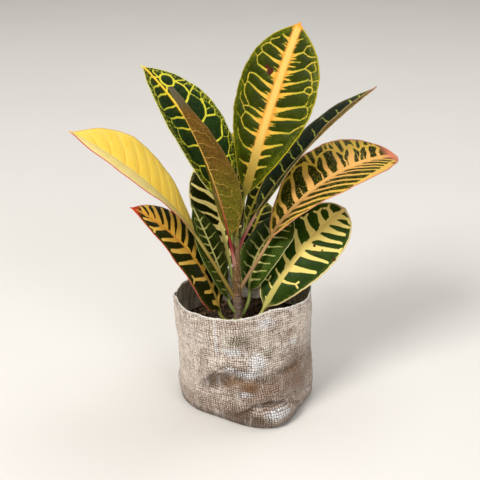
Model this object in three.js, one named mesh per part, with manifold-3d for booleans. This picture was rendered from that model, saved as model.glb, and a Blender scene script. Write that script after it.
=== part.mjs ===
// A young croton in a cut-down woven grow bag, as a nursery raises it.
// Millimetres, +Z up. The origin is on the bag's flat underside, below the foot of the stem.
// The front of the plant faces -Y.

import * as THREE from "three";
import Module from "manifold-3d";

const wasm = await Module();
wasm.setup();

// Distance that every piece keeps from its neighbours, and that the soil keeps from the bag's wall.
const CLEARANCE = 0.3;
const SOIL_CLEARANCE = 0.5;

// The bag: a sack of woven tape, opened out, filled and cut off above the soil.
// Its outline goes from the foot to the mouth. Each lobe is [how many, height, direction of a crest].
const BAG_WALL = 1.2;
const BAG_FLOOR = 1.5;
const BAG_SIDES = 48;
const MOUTH_HEIGHT = 143;
const MOUTH_WAVES = [
  [1, 2, 60],
  [5, 1, 20],
];
const FOOT_OUTLINE = {
  centre: [9, 8],
  radius: 75,
  lobes: [
    [2, 5, -19],
    [3, 4, 34],
    [4, 4, 21],
  ],
};
const MOUTH_OUTLINE = {
  centre: [3, 1],
  radius: 71,
  lobes: [
    [2, 8, 22],
    [3, 1.5, 0],
    [4, 2, -14],
  ],
};
// How far the wall stands inside its outline where it rounds into the bottom: [height, inset].
const FOOT_ROUNDING = [
  [0, 7],
  [1.5, 3],
  [5, 0.5],
  [12, 0],
];
const WALL_LEVELS = [0, 1.5, 5, 12, 20, 28, 36, 46, 58, 72, 88, 106, 126, MOUTH_HEIGHT];
// Soft dents and bulges: [direction, height, half-angle, half-height, depth]; a bulge's depth is negative.
const BAG_DENTS = [
  [-120, 57, 13, 13, 5],
  [-62, 12, 20, 14, -6],
  [-55, 33, 26, 8, 6],
  [-84, 76, 24, 12, -3],
  [-22, 72, 22, 16, 2.5],
  [40, 60, 30, 20, 2],
  [120, 48, 26, 18, 3],
  [170, 24, 22, 14, -2],
];

// The potting soil, which fills the bag to this height.
const SOIL_LEVEL = 103;
const SOIL_DOME = 3;
const SOIL_LUMPS = 1.2;
const SOIL_RINGS = [0.9, 0.74, 0.56, 0.38, 0.2];
const STEM_DEPTH = 44;

// The stem, upright in the soil and leaning a little above it.
const STEM_FOOT = [-2.5, 0];
const STEM_BENDS_AT = 112;
const STEM_LEAN = [-2.5 / 103, -4 / 103];
const STEM_TOP = 218;
const STEM_SIDES = 12;
const STEM_STEP = 6;
// Radius of the stem by height: [height, radius].
const STEM_RADII = [
  [SOIL_LEVEL - STEM_DEPTH, 6],
  [112, 5.2],
  [160, 4.8],
  [204, 4.2],
  [STEM_TOP, 2.4],
];
const LEAF_SCARS = [122, 130, 139, 148, 158, 180, 194];
const SCAR_SWELLING = 0.5;

// Every leaf: a round stalk that flattens into a blade with a keeled midrib.
const STALK_RADIUS = [2.4, 1.8];
const BLADE_THICKNESS = 0.9;
const TIP_WIDTH = 1.2;
const KEEL_WIDTH = [2.2, 0.7];
const KEEL_DEPTH = [1.6, 0.3];
const MIDRIB_RISE = 0.25;
const HALF_ARCH = -14;
const STALK_MERGES_OVER = 0.1;
const MARGIN_WAVE = 0.6;
const WAVES_PER_BLADE = 3;
const MIDRIB_STEPS = 96;
// Places of the cross-sections, as shares of the stalk and of the blade.
const STALK_SECTIONS = [0, 0.3, 0.62];
const BLADE_SECTIONS = [
  0, 0.05, 0.11, 0.18, 0.26, 0.34, 0.42, 0.5, 0.58, 0.66, 0.74, 0.82, 0.89, 0.95, 0.985, 1,
];
// Columns across a blade, from its left margin to its right one; the inner three are the midrib.
const COLUMN_SHARES = [-1, -0.55, null, 0, null, 0.55, 1];
const COLUMN_ANGLES = [-80, -50, -22, 0, 22, 50, 80];

// Each leaf joins the stem at a height. Its midrib points in a compass direction (degrees from +X
// towards +Y) and rises at an angle, and both change evenly from joint to blade and from blade to tip.
// Fold is how far each half, left and right, is raised from the leaf's plane, and point is the length
// over which the tip narrows to its point.
const LEAVES = {
  crown_leaf: {
    joint: 214, stalk: 40, blade: 207, width: 100, widest: 0.61, fullness: 1.9, point: 8,
    direction: [60, 46, 24], rise: [68, 69, 68], roll: 10, twist: 20, fold: [0, -3],
  },
  upper_left_leaf: {
    joint: 204, stalk: 32, blade: 205, width: 87, widest: 0.54, fullness: 1.85, point: 10,
    direction: [117, 128, 152], rise: [65, 63, 36], roll: 1, twist: -7, fold: [17, 17],
  },
  folded_front_leaf: {
    joint: 170, stalk: 44, blade: 198, width: 70, widest: 0.52, fullness: 1.6, point: 3,
    direction: [235, 233, 189], rise: [71, 76, 61], roll: 7, twist: 7, fold: [10, 30],
  },
  yellow_leaf: {
    joint: 127, stalk: 100, blade: 192, width: 93, widest: 0.59, fullness: 1.9, point: 12,
    direction: [203, 204, 179], rise: [64, 60, 29], roll: -14, twist: 11, fold: [11, 21],
  },
  lower_left_leaf: {
    joint: 109, stalk: 32, blade: 171, width: 88, widest: 0.49, fullness: 1.1, point: 12,
    direction: [232, 179, 192], rise: [-24, 78, 30], roll: -20, twist: 11, fold: [2, 5],
  },
  middle_left_leaf: {
    joint: 136, stalk: 34, blade: 139, width: 66, widest: 0.61, fullness: 1.6, point: 4,
    direction: [112, 112, 105], rise: [48, 56, 49], roll: 0, twist: -5, fold: [8, 10],
  },
  small_green_leaf: {
    joint: 114, stalk: 22, blade: 120, width: 48, widest: 0.5, fullness: 1.65, point: 5,
    direction: [222, 164, 152], rise: [40, 76, 60], roll: 1, twist: -11, fold: [0, 0],
  },
  narrow_right_leaf: {
    joint: 190, stalk: 48, blade: 203, width: 59, widest: 0.56, fullness: 1.4, point: 18,
    direction: [47, 37, -13], rise: [59, 50, 41], roll: 0, twist: 0, fold: [16, 24],
  },
  orange_leaf: {
    joint: 140, stalk: 71, blade: 206, width: 96, widest: 0.53, fullness: 2.05, point: 10,
    direction: [-19, 20, 35], rise: [63, 59, -12], roll: -10, twist: 27, fold: [19, 10],
  },
  lower_right_leaf: {
    joint: 109, stalk: 38, blade: 154, width: 76, widest: 0.62, fullness: 1.28, point: 2,
    direction: [-51, 25, 23], rise: [-17, 62, 31], roll: 35, twist: -7, fold: [-3, -12],
  },
  inner_right_leaf: {
    joint: 108, stalk: 35, blade: 109, width: 63, widest: 0.65, fullness: 1.05, point: 5,
    direction: [18, 43, 14], rise: [35, 92, 20], roll: 6, twist: 2, fold: [-5, -10],
  },
  back_right_leaf: {
    joint: 178, stalk: 41, blade: 133, width: 42, widest: 0.59, fullness: 1.6, point: 8,
    direction: [71, 66, 49], rise: [52, 49, 26], roll: -20, twist: -11, fold: [0, 10],
  },
  rear_leaf: {
    joint: 190, stalk: 40, blade: 150, width: 62, widest: 0.56, fullness: 1.7, point: 8,
    direction: [112, 95, 84], rise: [54, 44, 10], roll: 0, twist: 6, fold: [14, 14],
  },
  rear_left_leaf: {
    joint: 127, stalk: 36, blade: 120, width: 54, widest: 0.56, fullness: 1.7, point: 8,
    direction: [122, 118, 114], rise: [32, 34, 2], roll: 0, twist: 0, fold: [14, 14],
  },
  low_rear_leaf: {
    joint: 121, stalk: 38, blade: 118, width: 54, widest: 0.56, fullness: 1.7, point: 8,
    direction: [80, 76, 68], rise: [38, 50, 14], roll: 0, twist: 0, fold: [12, 12],
  },
  young_leaf: {
    joint: 213, stalk: 8, blade: 34, width: 15, widest: 0.42, fullness: 1.5, point: 4,
    direction: [292, 292, 292], rise: [46, 80, 84], roll: 90, twist: 0, fold: [38, 38],
  },
};

const COLOURS = {
  woven_tape: 0xb3a797,
  soil: 0x2b2019,
  bark: 0x76604f,
  young_leaf: 0x9a8a2e,
  olive_leaf: 0x6d7a22,
  dark_leaf: 0x1d3b20,
  khaki_leaf: 0x7d6a2b,
  yellow_leaf: 0xe0bd3f,
  green_leaf: 0x2c5526,
  orange_leaf: 0x8a7a36,
};
const LEAF_FINISH = {
  crown_leaf: "olive_leaf",
  folded_front_leaf: "khaki_leaf",
  yellow_leaf: "yellow_leaf",
  small_green_leaf: "green_leaf",
  inner_right_leaf: "green_leaf",
  orange_leaf: "orange_leaf",
  young_leaf: "young_leaf",
};

const radians = THREE.MathUtils.degToRad;
const mix = THREE.MathUtils.lerp;

// Value at a place along a list of [place, value] pairs, straight between them.
function profile(pairs, place) {
  const next = pairs.findIndex(([at]) => at > place);
  if (next === 0) return pairs[0][1];
  if (next < 0) return pairs[pairs.length - 1][1];
  const [from, a] = pairs[next - 1];
  const [to, b] = pairs[next];
  return mix(a, b, (place - from) / (to - from));
}

// A closed body from its points and its triangles, which point outwards.
function body(points, triangles) {
  const vertProperties = new Float32Array(points.flatMap((p) => [p.x, p.y, p.z]));
  const triVerts = new Uint32Array(triangles.flat());
  return new wasm.Manifold(new wasm.Mesh({ numProp: 3, vertProperties, triVerts }));
}

function meshOf(name, solid, finish) {
  const { vertProperties, triVerts } = solid.getMesh();
  const geometry = new THREE.BufferGeometry();
  geometry.setAttribute("position", new THREE.BufferAttribute(new Float32Array(vertProperties), 3));
  geometry.setIndex(new THREE.BufferAttribute(new Uint32Array(triVerts), 1));
  const material = new THREE.MeshStandardMaterial({
    color: COLOURS[finish],
    roughness: finish.endsWith("leaf") ? 0.45 : 0.9,
    metalness: 0,
  });
  const mesh = new THREE.Mesh(geometry, material);
  mesh.name = name;
  return mesh;
}

// A body through a stack of rings with equally many points, closed by a point at each end.
// Rings run anticlockwise seen from above. Where the stack turns down inside itself, as the inside of
// a wall does, its faces are split as those outside are, so that the wall keeps its thickness.
function stack(first, rings, last) {
  const sides = rings[0].length;
  const points = [first, ...rings.flat(), last];
  const end = points.length - 1;
  const triangles = [];
  for (let i = 0; i < sides; i += 1) {
    const j = (i + 1) % sides;
    triangles.push([0, 1 + j, 1 + i]);
    for (let ring = 0; ring + 1 < rings.length; ring += 1) {
      const low = 1 + ring * sides;
      const high = low + sides;
      if (rings[ring + 1][0].z < rings[ring][0].z) {
        triangles.push([low + i, low + j, high + i], [low + j, high + j, high + i]);
      } else {
        triangles.push([low + i, low + j, high + j], [low + i, high + j, high + i]);
      }
    }
    const top = 1 + (rings.length - 1) * sides;
    triangles.push([top + i, top + j, end]);
  }
  return body(points, triangles);
}

// The bag's outer wall.

function outlineRadius(outline, angle) {
  return outline.lobes.reduce(
    (radius, [count, height, crest]) => radius + height * Math.cos(count * (angle - radians(crest))),
    outline.radius,
  );
}

function turnBetween(angle, direction) {
  const turn = angle - radians(direction);
  return Math.atan2(Math.sin(turn), Math.cos(turn));
}

function dentDepth(angle, z) {
  return BAG_DENTS.reduce((depth, [direction, height, halfAngle, halfHeight, deep]) => {
    const aside = turnBetween(angle, direction) / radians(halfAngle);
    const above = (z - height) / halfHeight;
    return depth + deep * Math.exp(-aside * aside - above * above);
  }, 0);
}

function mouthHeight(angle) {
  return MOUTH_WAVES.reduce(
    (height, [count, size, crest]) => height + size * Math.cos(count * (angle - radians(crest))),
    MOUTH_HEIGHT,
  );
}

// A point of the bag's wall, at a height as measured on a mouth cut level, set in from the outside.
function wallPoint(angle, z, inset) {
  const share = z / MOUTH_HEIGHT;
  const radius = mix(outlineRadius(FOOT_OUTLINE, angle), outlineRadius(MOUTH_OUTLINE, angle), share)
    - dentDepth(angle, z) - profile(FOOT_ROUNDING, z) - inset;
  return new THREE.Vector3(
    mix(FOOT_OUTLINE.centre[0], MOUTH_OUTLINE.centre[0], share) + radius * Math.cos(angle),
    mix(FOOT_OUTLINE.centre[1], MOUTH_OUTLINE.centre[1], share) + radius * Math.sin(angle),
    z + (mouthHeight(angle) - MOUTH_HEIGHT) * share ** 3,
  );
}

function wallRing(z, inset) {
  return Array.from({ length: BAG_SIDES }, (_, i) => wallPoint((2 * Math.PI * i) / BAG_SIDES, z, inset));
}

function centreAt(z) {
  const share = z / MOUTH_HEIGHT;
  return new THREE.Vector3(
    mix(FOOT_OUTLINE.centre[0], MOUTH_OUTLINE.centre[0], share),
    mix(FOOT_OUTLINE.centre[1], MOUTH_OUTLINE.centre[1], share),
    z,
  );
}

function bagSolid() {
  const outside = WALL_LEVELS.map((z) => wallRing(z, 0));
  const inside = WALL_LEVELS.filter((z) => z >= BAG_FLOOR).map((z) => wallRing(z, BAG_WALL));
  return stack(centreAt(0), [...outside, ...inside.reverse()], centreAt(BAG_FLOOR));
}

// The soil, whose top is domed a little round the stem and lumpy.
function soilTop(point) {
  const lumps = Math.sin(point.x / 7 + 1) * Math.cos(point.y / 9) + Math.sin(point.x / 13 - point.y / 11);
  return SOIL_LEVEL + (SOIL_LUMPS / 2) * lumps;
}

function soilSolid(stemHole) {
  const inset = BAG_WALL + SOIL_CLEARANCE;
  const floor = BAG_FLOOR + CLEARANCE;
  const levels = [floor, ...WALL_LEVELS.filter((z) => z > floor && z < SOIL_LEVEL - SOIL_DOME)];
  const rings = levels.map((z) => wallRing(z, inset));
  const edge = wallRing(SOIL_LEVEL - SOIL_DOME, inset);
  const middle = centreAt(SOIL_LEVEL);
  const top = SOIL_RINGS.map((share) =>
    edge.map((point) => {
      const inner = middle.clone().lerp(point, share);
      return inner.setZ(soilTop(inner) - SOIL_DOME * share ** 4);
    }));
  return stack(centreAt(floor), [...rings, edge, ...top], middle.setZ(soilTop(middle))).subtract(stemHole);
}

// The stem.

function stemAxis(z) {
  const above = Math.max(z - STEM_BENDS_AT, 0);
  return new THREE.Vector3(STEM_FOOT[0] + STEM_LEAN[0] * above, STEM_FOOT[1] + STEM_LEAN[1] * above, z);
}

function stemRadius(z) {
  return LEAF_SCARS.reduce(
    (radius, scar) => radius + SCAR_SWELLING * Math.exp(-(((z - scar) / 2.5) ** 2)),
    profile(STEM_RADII, z),
  );
}

// The stem grown by a margin all round, which also makes the hole in the soil and the leaf seats.
function stemSolid(margin) {
  const foot = SOIL_LEVEL - STEM_DEPTH;
  const count = Math.round((STEM_TOP - foot) / STEM_STEP);
  const rings = Array.from({ length: count + 1 }, (_, ring) => {
    const z = mix(foot, STEM_TOP, ring / count);
    const axis = stemAxis(z);
    const raised = ring === 0 ? -margin : ring === count ? margin : 0;
    return Array.from({ length: STEM_SIDES }, (_, side) => {
      const angle = (2 * Math.PI * side) / STEM_SIDES;
      const radius = stemRadius(z) + margin;
      return axis.clone().add(new THREE.Vector3(radius * Math.cos(angle), radius * Math.sin(angle), raised));
    });
  });
  const below = stemAxis(foot - margin);
  const above = stemAxis(STEM_TOP + margin + 1.5);
  return stack(below, rings, above);
}

// The leaves.

// The midrib's centre line and its frame, from the middle of the stem to the leaf's tip.
function midrib(leaf) {
  const length = leaf.stalk + leaf.blade;
  const step = length / MIDRIB_STEPS;
  const centre = stemAxis(leaf.joint);
  const stations = [];
  let before = null;
  for (let i = 0; i <= MIDRIB_STEPS; i += 1) {
    const distance = i * step;
    const onStalk = Math.min(distance / leaf.stalk, 1);
    const share = Math.max((distance - leaf.stalk) / leaf.blade, 0);
    const follow = ([joint, base, tip]) => radians(joint + (base - joint) * onStalk + (tip - base) * share);
    const azimuth = follow(leaf.direction);
    const rise = follow(leaf.rise);
    const along = new THREE.Vector3(
      Math.cos(rise) * Math.cos(azimuth), Math.cos(rise) * Math.sin(azimuth), Math.sin(rise),
    );
    const up = new THREE.Vector3(
      -Math.sin(rise) * Math.cos(azimuth), -Math.sin(rise) * Math.sin(azimuth), Math.cos(rise),
    );
    const aside = along.clone().cross(up);
    const roll = radians(leaf.roll + leaf.twist * share);
    const normal = up.multiplyScalar(Math.cos(roll)).addScaledVector(aside, Math.sin(roll));
    if (before) centre.addScaledVector(before.clone().add(along), step / 2);
    before = along;
    stations.push({ centre: centre.clone(), across: along.clone().cross(normal), normal });
  }
  return (distance) => {
    const place = THREE.MathUtils.clamp(distance / step, 0, MIDRIB_STEPS);
    const low = Math.min(Math.floor(place), MIDRIB_STEPS - 1);
    const [a, b] = [stations[low], stations[low + 1]];
    const between = (key) => a[key].clone().lerp(b[key], place - low);
    return { centre: between("centre"), across: between("across"), normal: between("normal") };
  };
}

// Half the blade's width: nothing at both ends, all of it at the widest place, and a drawn-out point.
function halfWidth(leaf, share) {
  const inside = THREE.MathUtils.clamp(share, 1e-6, 1 - 1e-6);
  const width = (leaf.width / 2) * (inside / leaf.widest) ** (leaf.widest * leaf.fullness)
    * ((1 - inside) / (1 - leaf.widest)) ** ((1 - leaf.widest) * leaf.fullness);
  const drawnOut = 1 - Math.exp((-(1 - inside) * leaf.blade) / leaf.point);
  return Math.max(width * drawnOut, TIP_WIDTH / 2);
}

// Place of one column in the section's plane, aside and up, on the upper (+1) or lower (-1) face.
function bladePlace(leaf, share, column, face) {
  const half = halfWidth(leaf, share);
  const keel = Math.min(mix(...KEEL_WIDTH, share), half * 0.3);
  const side = Math.sign(column - 3);
  const reach = COLUMN_SHARES[column] === null ? keel : Math.abs(COLUMN_SHARES[column]) * half;
  const outward = reach / half;
  const fold = radians(leaf.fold[side < 0 ? 0 : 1] + (HALF_ARCH * (outward - 1)) / 2);
  const phase = 2 * Math.PI * WAVES_PER_BLADE * share + (side > 0 ? 0.3 * 2 * Math.PI : 0);
  const wave = MARGIN_WAVE * outward ** 2 * Math.sin(phase) * Math.min(half / (leaf.width / 2), 1);
  const thick = BLADE_THICKNESS / 2 + (side !== 0 ? 0 : face > 0 ? MIDRIB_RISE : mix(...KEEL_DEPTH, share));
  return [side * reach * Math.cos(fold), reach * Math.sin(fold) + wave + face * thick];
}

function stalkPlace(share, column, face) {
  const angle = radians(COLUMN_ANGLES[column]);
  const radius = mix(...STALK_RADIUS, share);
  return [radius * Math.sin(angle), face * radius * Math.cos(angle)];
}

function leafSolid(leaf) {
  const stationAt = midrib(leaf);
  const places = [
    ...STALK_SECTIONS.map((share) => share * leaf.stalk),
    ...BLADE_SECTIONS.map((share) => leaf.stalk + share * leaf.blade),
  ];
  const columns = COLUMN_SHARES.length;
  const points = places.flatMap((distance) => {
    const { centre, across, normal } = stationAt(distance);
    const share = Math.max((distance - leaf.stalk) / leaf.blade, 0);
    const flat = THREE.MathUtils.smoothstep(share, 0, STALK_MERGES_OVER);
    return [1, -1].flatMap((face) =>
      COLUMN_SHARES.map((_, column) => {
        const round = stalkPlace(Math.min(distance / leaf.stalk, 1), column, face);
        const blade = bladePlace(leaf, share, column, face);
        const [aside, up] = round.map((value, axis) => mix(value, blade[axis], flat));
        return centre.clone().addScaledVector(across, aside).addScaledVector(normal, up);
      }));
  });
  const at = (station, face, column) => (station * 2 + face) * columns + column;
  const triangles = [];
  const quad = (a, b, c, d) => triangles.push([a, b, c], [a, c, d]);
  const last = places.length - 1;
  const right = columns - 1;
  for (let station = 0; station < last; station += 1) {
    const next = station + 1;
    for (let column = 0; column + 1 < columns; column += 1) {
      const [upper, lower] = [0, 1].map((face) => [
        at(station, face, column), at(station, face, column + 1),
        at(next, face, column + 1), at(next, face, column),
      ]);
      quad(...upper);
      const [a, b, c, d] = lower;
      triangles.push([a, c, b], [a, d, c]);
    }
    quad(at(station, 1, 0), at(station, 0, 0), at(next, 0, 0), at(next, 1, 0));
    quad(at(station, 0, right), at(station, 1, right), at(next, 1, right), at(next, 0, right));
  }
  for (let column = 0; column + 1 < columns; column += 1) {
    quad(at(0, 0, column + 1), at(0, 0, column), at(0, 1, column), at(0, 1, column + 1));
    quad(at(last, 0, column), at(last, 0, column + 1), at(last, 1, column + 1), at(last, 1, column));
  }
  return body(points, triangles);
}

const group = new THREE.Group();
const stemSeat = stemSolid(CLEARANCE);
group.add(meshOf("grow_bag", bagSolid(), "woven_tape"));
group.add(meshOf("soil", soilSolid(stemSeat), "soil"));
group.add(meshOf("stem", stemSolid(0), "bark"));
for (const [name, leaf] of Object.entries(LEAVES)) {
  group.add(meshOf(name, leafSolid(leaf).subtract(stemSeat), LEAF_FINISH[name] ?? "dark_leaf"));
}

export default group;
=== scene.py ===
# A young croton in a cut-down grow bag of woven tape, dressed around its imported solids.

import math

import bpy
import numpy as np
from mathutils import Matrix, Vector, noise


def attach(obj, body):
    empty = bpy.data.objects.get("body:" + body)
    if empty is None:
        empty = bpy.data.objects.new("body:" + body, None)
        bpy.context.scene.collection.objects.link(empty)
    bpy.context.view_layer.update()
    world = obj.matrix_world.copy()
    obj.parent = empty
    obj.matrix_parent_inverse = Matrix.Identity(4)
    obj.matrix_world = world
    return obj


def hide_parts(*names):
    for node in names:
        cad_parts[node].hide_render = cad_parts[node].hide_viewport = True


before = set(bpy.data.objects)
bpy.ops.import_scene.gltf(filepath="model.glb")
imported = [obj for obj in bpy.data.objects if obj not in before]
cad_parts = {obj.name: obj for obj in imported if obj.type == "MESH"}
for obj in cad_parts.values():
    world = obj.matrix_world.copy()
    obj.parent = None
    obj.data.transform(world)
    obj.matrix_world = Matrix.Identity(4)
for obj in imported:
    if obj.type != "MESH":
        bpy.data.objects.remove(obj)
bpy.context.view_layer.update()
MM = 0.001


# The grow bag: a sack of flat polypropylene tapes in plain weave, opened out, filled and cut off above
# the soil. Its foot is folded under at the front right and dented by handling, and soil, rust and
# algae have stained it. Painted shade in its dents, creases, weave gaps and at its foot, and painted
# highlights and painted light on its tapes, are laid into its colour as well.

BAG_WALL = 1.2
BAG_FLOOR = 1.5
MOUTH_HEIGHT = 143
# Waves round the bag: how many, how high, and the direction of a crest.
MOUTH_WAVES = [(1, 2, 60), (5, 1, 20)]
FOOT_OUTLINE = {"centre": (9, 8), "radius": 75, "lobes": [(2, 5, -19), (3, 4, 34), (4, 4, 21)]}
MOUTH_OUTLINE = {"centre": (3, 1), "radius": 71, "lobes": [(2, 8, 22), (3, 1.5, 0), (4, 2, -14)]}
FOOT_ROUNDING = [(0, 7), (1.5, 3), (5, 0.5), (12, 0)]
# Dents and bulges: direction, height, half-angle, half-height, depth.
BAG_DENTS = [
    (-120, 57, 13, 13, 5), (-62, 12, 20, 14, -6), (-55, 33, 26, 8, 6), (-84, 76, 24, 12, -3),
    (-22, 72, 22, 16, 2.5), (40, 60, 30, 20, 2), (120, 48, 26, 18, 3), (170, 24, 22, 14, -2),
]
# Creases: depth, width, and the (direction, height) points they run through. A ridge has a negative depth.
BAG_CREASES = [
    (-3.2, 5.0, [(-177, 170), (-177, 140), (-175, 112), (-172, 84)]),
    (-1.0, 2.0, [(-154, 143), (-151, 126), (-148, 108)]),
    (3.4, 1.9, [(-100, 15), (-91, 22), (-81, 29.5), (-70, 30.5), (-60, 28), (-48, 23), (-34, 15)]),
    (-2.4, 4.0, [(-90, 13), (-80, 21), (-68, 23), (-56, 20), (-44, 14)]),
    (-2.8, 5.5, [(-100, 28), (-86, 38), (-68, 40), (-50, 34)]),
    (-2.0, 7.0, [(-88, 60), (-84, 74), (-76, 86), (-66, 96)]),
    (1.6, 6.0, [(-100, 66), (-84, 64), (-70, 60), (-52, 56)]),
    (2.4, 5.0, [(-134, 45), (-127, 54), (-117, 62), (-106, 68), (-88, 71)]),
    (1.7, 1.5, [(-131, 48), (-127, 58), (-119, 69), (-110, 78), (-103, 82), (-96, 80), (-84, 79)]),
    (-2.2, 3.4, [(-137, 46), (-132, 62), (-124, 76), (-110, 87), (-92, 86)]),
    (-2.0, 4.0, [(-130, 40), (-118, 42), (-106, 46), (-92, 52)]),
    (1.3, 4.6, [(-12, 70), (-30, 67), (-46, 65), (-60, 70), (-74, 71)]),
    (1.0, 3.0, [(-22, 90), (-36, 84), (-52, 84)]),
    (-0.9, 2.2, [(-14, 66), (-30, 60), (-50, 58)]),
    (-1.2, 1.3, [(-114, 160), (-115, 128), (-115, 110), (-117, 90), (-119, 66)]),
    (0.8, 2.6, [(-160, 50), (-148, 66), (-138, 82)]),
    (0.7, 2.4, [(-152, 36), (-142, 48), (-132, 62)]),
    (-0.8, 3.0, [(-100, 48), (-86, 50), (-72, 44)]),
    (1.0, 2.6, [(30, 96), (48, 84), (66, 82)]),
    (1.4, 3.0, [(96, 30), (112, 40), (132, 44)]),
    (0.9, 2.4, [(140, 110), (146, 90), (150, 64)]),
    (1.1, 2.8, [(84, 12), (60, 22), (40, 20)]),
]
CREASE_ENDS = (0.08, 0.92)
BAG_COLUMNS = 320
BAG_ROW_STEP = 1.5
FOOT_ROWS = (0, 0.5, 1.5, 3)
INNER_ROW_STEP = 2.5
# Inside, the rows are close together down to this height, under which the soil hides them.
INNER_ROWS_TO = 90
HIDDEN_ROWS = (60, 30, BAG_FLOOR)
HIDDEN_INSET = 9
RIM_ROUNDING = (0.3, 0.25)
# Small uneven swellings of the sheet: their size and height.
CRUMPLE = ((26, 0.9), (10, 0.65), (4.5, 0.26))
CRUMPLE_SHARE = 1.5
RIM_TUCKS = (14, 0.5)
TUCKS_FROM = 100
# The scissors' wavering: waves round the rim, and how high they are.
CUT_WAVES = (23, 37, 61)
CUT_HEIGHTS = (0.35, 0.25)
RAGGED_RIM = 2
SMOOTH_FOOT = 12
TAPE_PITCH = 2.8
GIRTH_ROW = 40
FLOOR_ROWS = -20
# The paler cut edge: where it starts below the rim, and over what height it comes in.
PALE_EDGE = (1.6, 1.3)
# Painted shade: how much the pressed-in creases darken the wall's colour.
SHADE_IN_CREASES = 0.25
# Dirt and a painted shadow along the foot, where it curves under: strength and height of the band.
DIRT_AND_SHADOW_AT_FOOT = (0.8, 5)
# Stains: direction, height, half-angle, half-height, strength. The grime spots are dirt and also painted
# shade in the left dent and under the fold at the front foot, with a painted shadow round the foot. The
# chalk spots are pale marks and painted bluish highlights. The sun has bleached the last ones, and at the
# upper right edge they paint light as well.
STAINS = {
    "rust": [
        (-108, 54, 8, 7, 1.1), (-86, 54, 9, 6, 1.2), (-99, 61, 9, 4, 1.0), (-36, 64, 16, 6, 0.6),
        (-37, 111, 6, 5, 1.5), (-94, 136, 16, 4, 0.5), (-60, 50, 18, 10, 0.4), (-30, 44, 14, 14, 0.5),
        (80, 60, 20, 20, 0.5), (160, 90, 14, 14, 0.5), (112, 42, 16, 9, 0.8)],
    "algae": [
        (-99, 115, 7, 6, 1.3), (-89, 116, 6, 5, 1.2), (-66, 95, 8, 7, 0.8), (-37, 111, 5, 5, 0.4),
        (-78, 14, 12, 8, 0.6), (-20, 50, 12, 10, 0.4), (100, 100, 12, 9, 0.8), (30, 40, 14, 10, 0.6),
        (140, 62, 10, 8, 0.7)],
    # Pale marks, and painted bluish-white highlights where the film shines; the thin upright one is a white
    # line.
    "chalk_and_sheen": [
        (-78, 86, 8, 10, 1.0), (-101, 100, 10, 6, 0.8), (-104, 76, 7, 4, 0.8), (-88, 71, 10, 5, 1.0),
        (-36, 97, 5, 4, 0.7), (-66, 130, 13, 8, 0.6), (-64, 19, 13, 6, 0.9), (-91, 45, 9, 6, 0.5),
        (-115.5, 118, 1.1, 26, 1.0), (-146, 110, 12, 26, 0.3), (10, 100, 20, 14, 0.6),
        (130, 110, 20, 14, 0.7), (70, 84, 14, 10, 0.8), (96, 60, 12, 8, 0.7), (168, 50, 12, 12, 0.6)],
    # Dirt and painted shade: the left dent's dark corner, under the front foot's fold, and round the foot.
    "grime_and_shade": [
        (-128, 49, 9, 7, 1.0), (-118, 57, 11, 7, 0.65), (-70, 29, 22, 2, 0.7), (-98, 76, 16, 3, 0.5),
        (-86, 78, 18, 12, 0.35), (-94, 107, 20, 18, 0.5), (-94, 46, 22, 20, 0.38), (-98, 14, 22, 9, 0.75),
        (-45, 8, 26, 8, 0.5), (-84, 12, 12, 8, 0.4), (-100, 4, 40, 5, 0.6), (-50, 66, 26, 4, 0.35),
        (-150, 4, 34, 6, 0.7), (60, 10, 60, 9, 0.6), (150, 8, 50, 8, 0.6), (86, 74, 20, 9, 0.5),
        (128, 46, 22, 10, 0.5), (30, 84, 18, 12, 0.35), (176, 96, 16, 18, 0.35)],
    "dust": [
        (-66, 52, 40, 13, 0.85), (-28, 56, 26, 34, 0.9), (-104, 134, 26, 7, 0.5), (-56, 118, 12, 12, 0.35),
        (-90, 20, 46, 12, 0.85), (-100, 68, 16, 9, 0.6), (-80, 42, 26, 9, 0.6), (-150, 20, 34, 14, 0.5),
        (-128, 92, 12, 12, 0.35), (60, 50, 60, 40, 0.7), (150, 60, 40, 30, 0.5)],
    # Sun-bleached patches; those at the upper right edge are painted light as well.
    "bleached_and_lit": [
        (-172, 70, 26, 60, 0.8), (-150, 60, 16, 40, 0.5), (-130, 118, 26, 20, 0.3), (-20, 120, 20, 22, 1.0),
        (-20, 92, 12, 16, 0.8), (54, 118, 20, 16, 0.7), (120, 86, 16, 22, 0.7)],
}


def mix(a, b, share):
    return a + (b - a) * share


def turn_between(angle, direction):
    turn = angle - np.radians(direction)
    return np.arctan2(np.sin(turn), np.cos(turn))


def lobed(lobes, angle):
    return sum(height * np.cos(count * (angle - np.radians(crest))) for count, height, crest in lobes)


def patches(spots, angle, z):
    """The sum of soft spots at each point of the wall: direction, height, half-angle, half-height, size."""
    total = np.zeros(np.broadcast(angle, z).shape)
    for direction, height, half_angle, half_height, size in spots:
        aside = turn_between(angle, direction) / np.radians(half_angle)
        total += size * np.exp(-aside ** 2 - ((z - height) / half_height) ** 2)
    return total


def crease_depth(angle, z):
    """How deep the creases press the wall in. Along its line a crease fades out at both ends."""
    depth = np.zeros(angle.shape)
    girth = FOOT_OUTLINE["radius"]
    for deep, width, route in BAG_CREASES:
        nearest = np.full(angle.shape, 1e3)
        share_there = np.zeros(angle.shape)
        for step, ((a0, z0), (a1, z1)) in enumerate(zip(route, route[1:])):
            x = turn_between(angle, a0) * girth
            dx, dz = math.radians(a1 - a0) * girth, z1 - z0
            share = np.clip((x * dx + (z - z0) * dz) / (dx * dx + dz * dz), 0, 1)
            away = np.hypot(x - share * dx, z - z0 - share * dz)
            share_there = np.where(away < nearest, (step + share) / (len(route) - 1), share_there)
            nearest = np.minimum(nearest, away)
        fading = np.sin(np.pi * np.clip(share_there, *CREASE_ENDS)) ** 0.5
        depth += deep * np.exp(-(nearest / width) ** 2) * fading
    return depth


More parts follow.
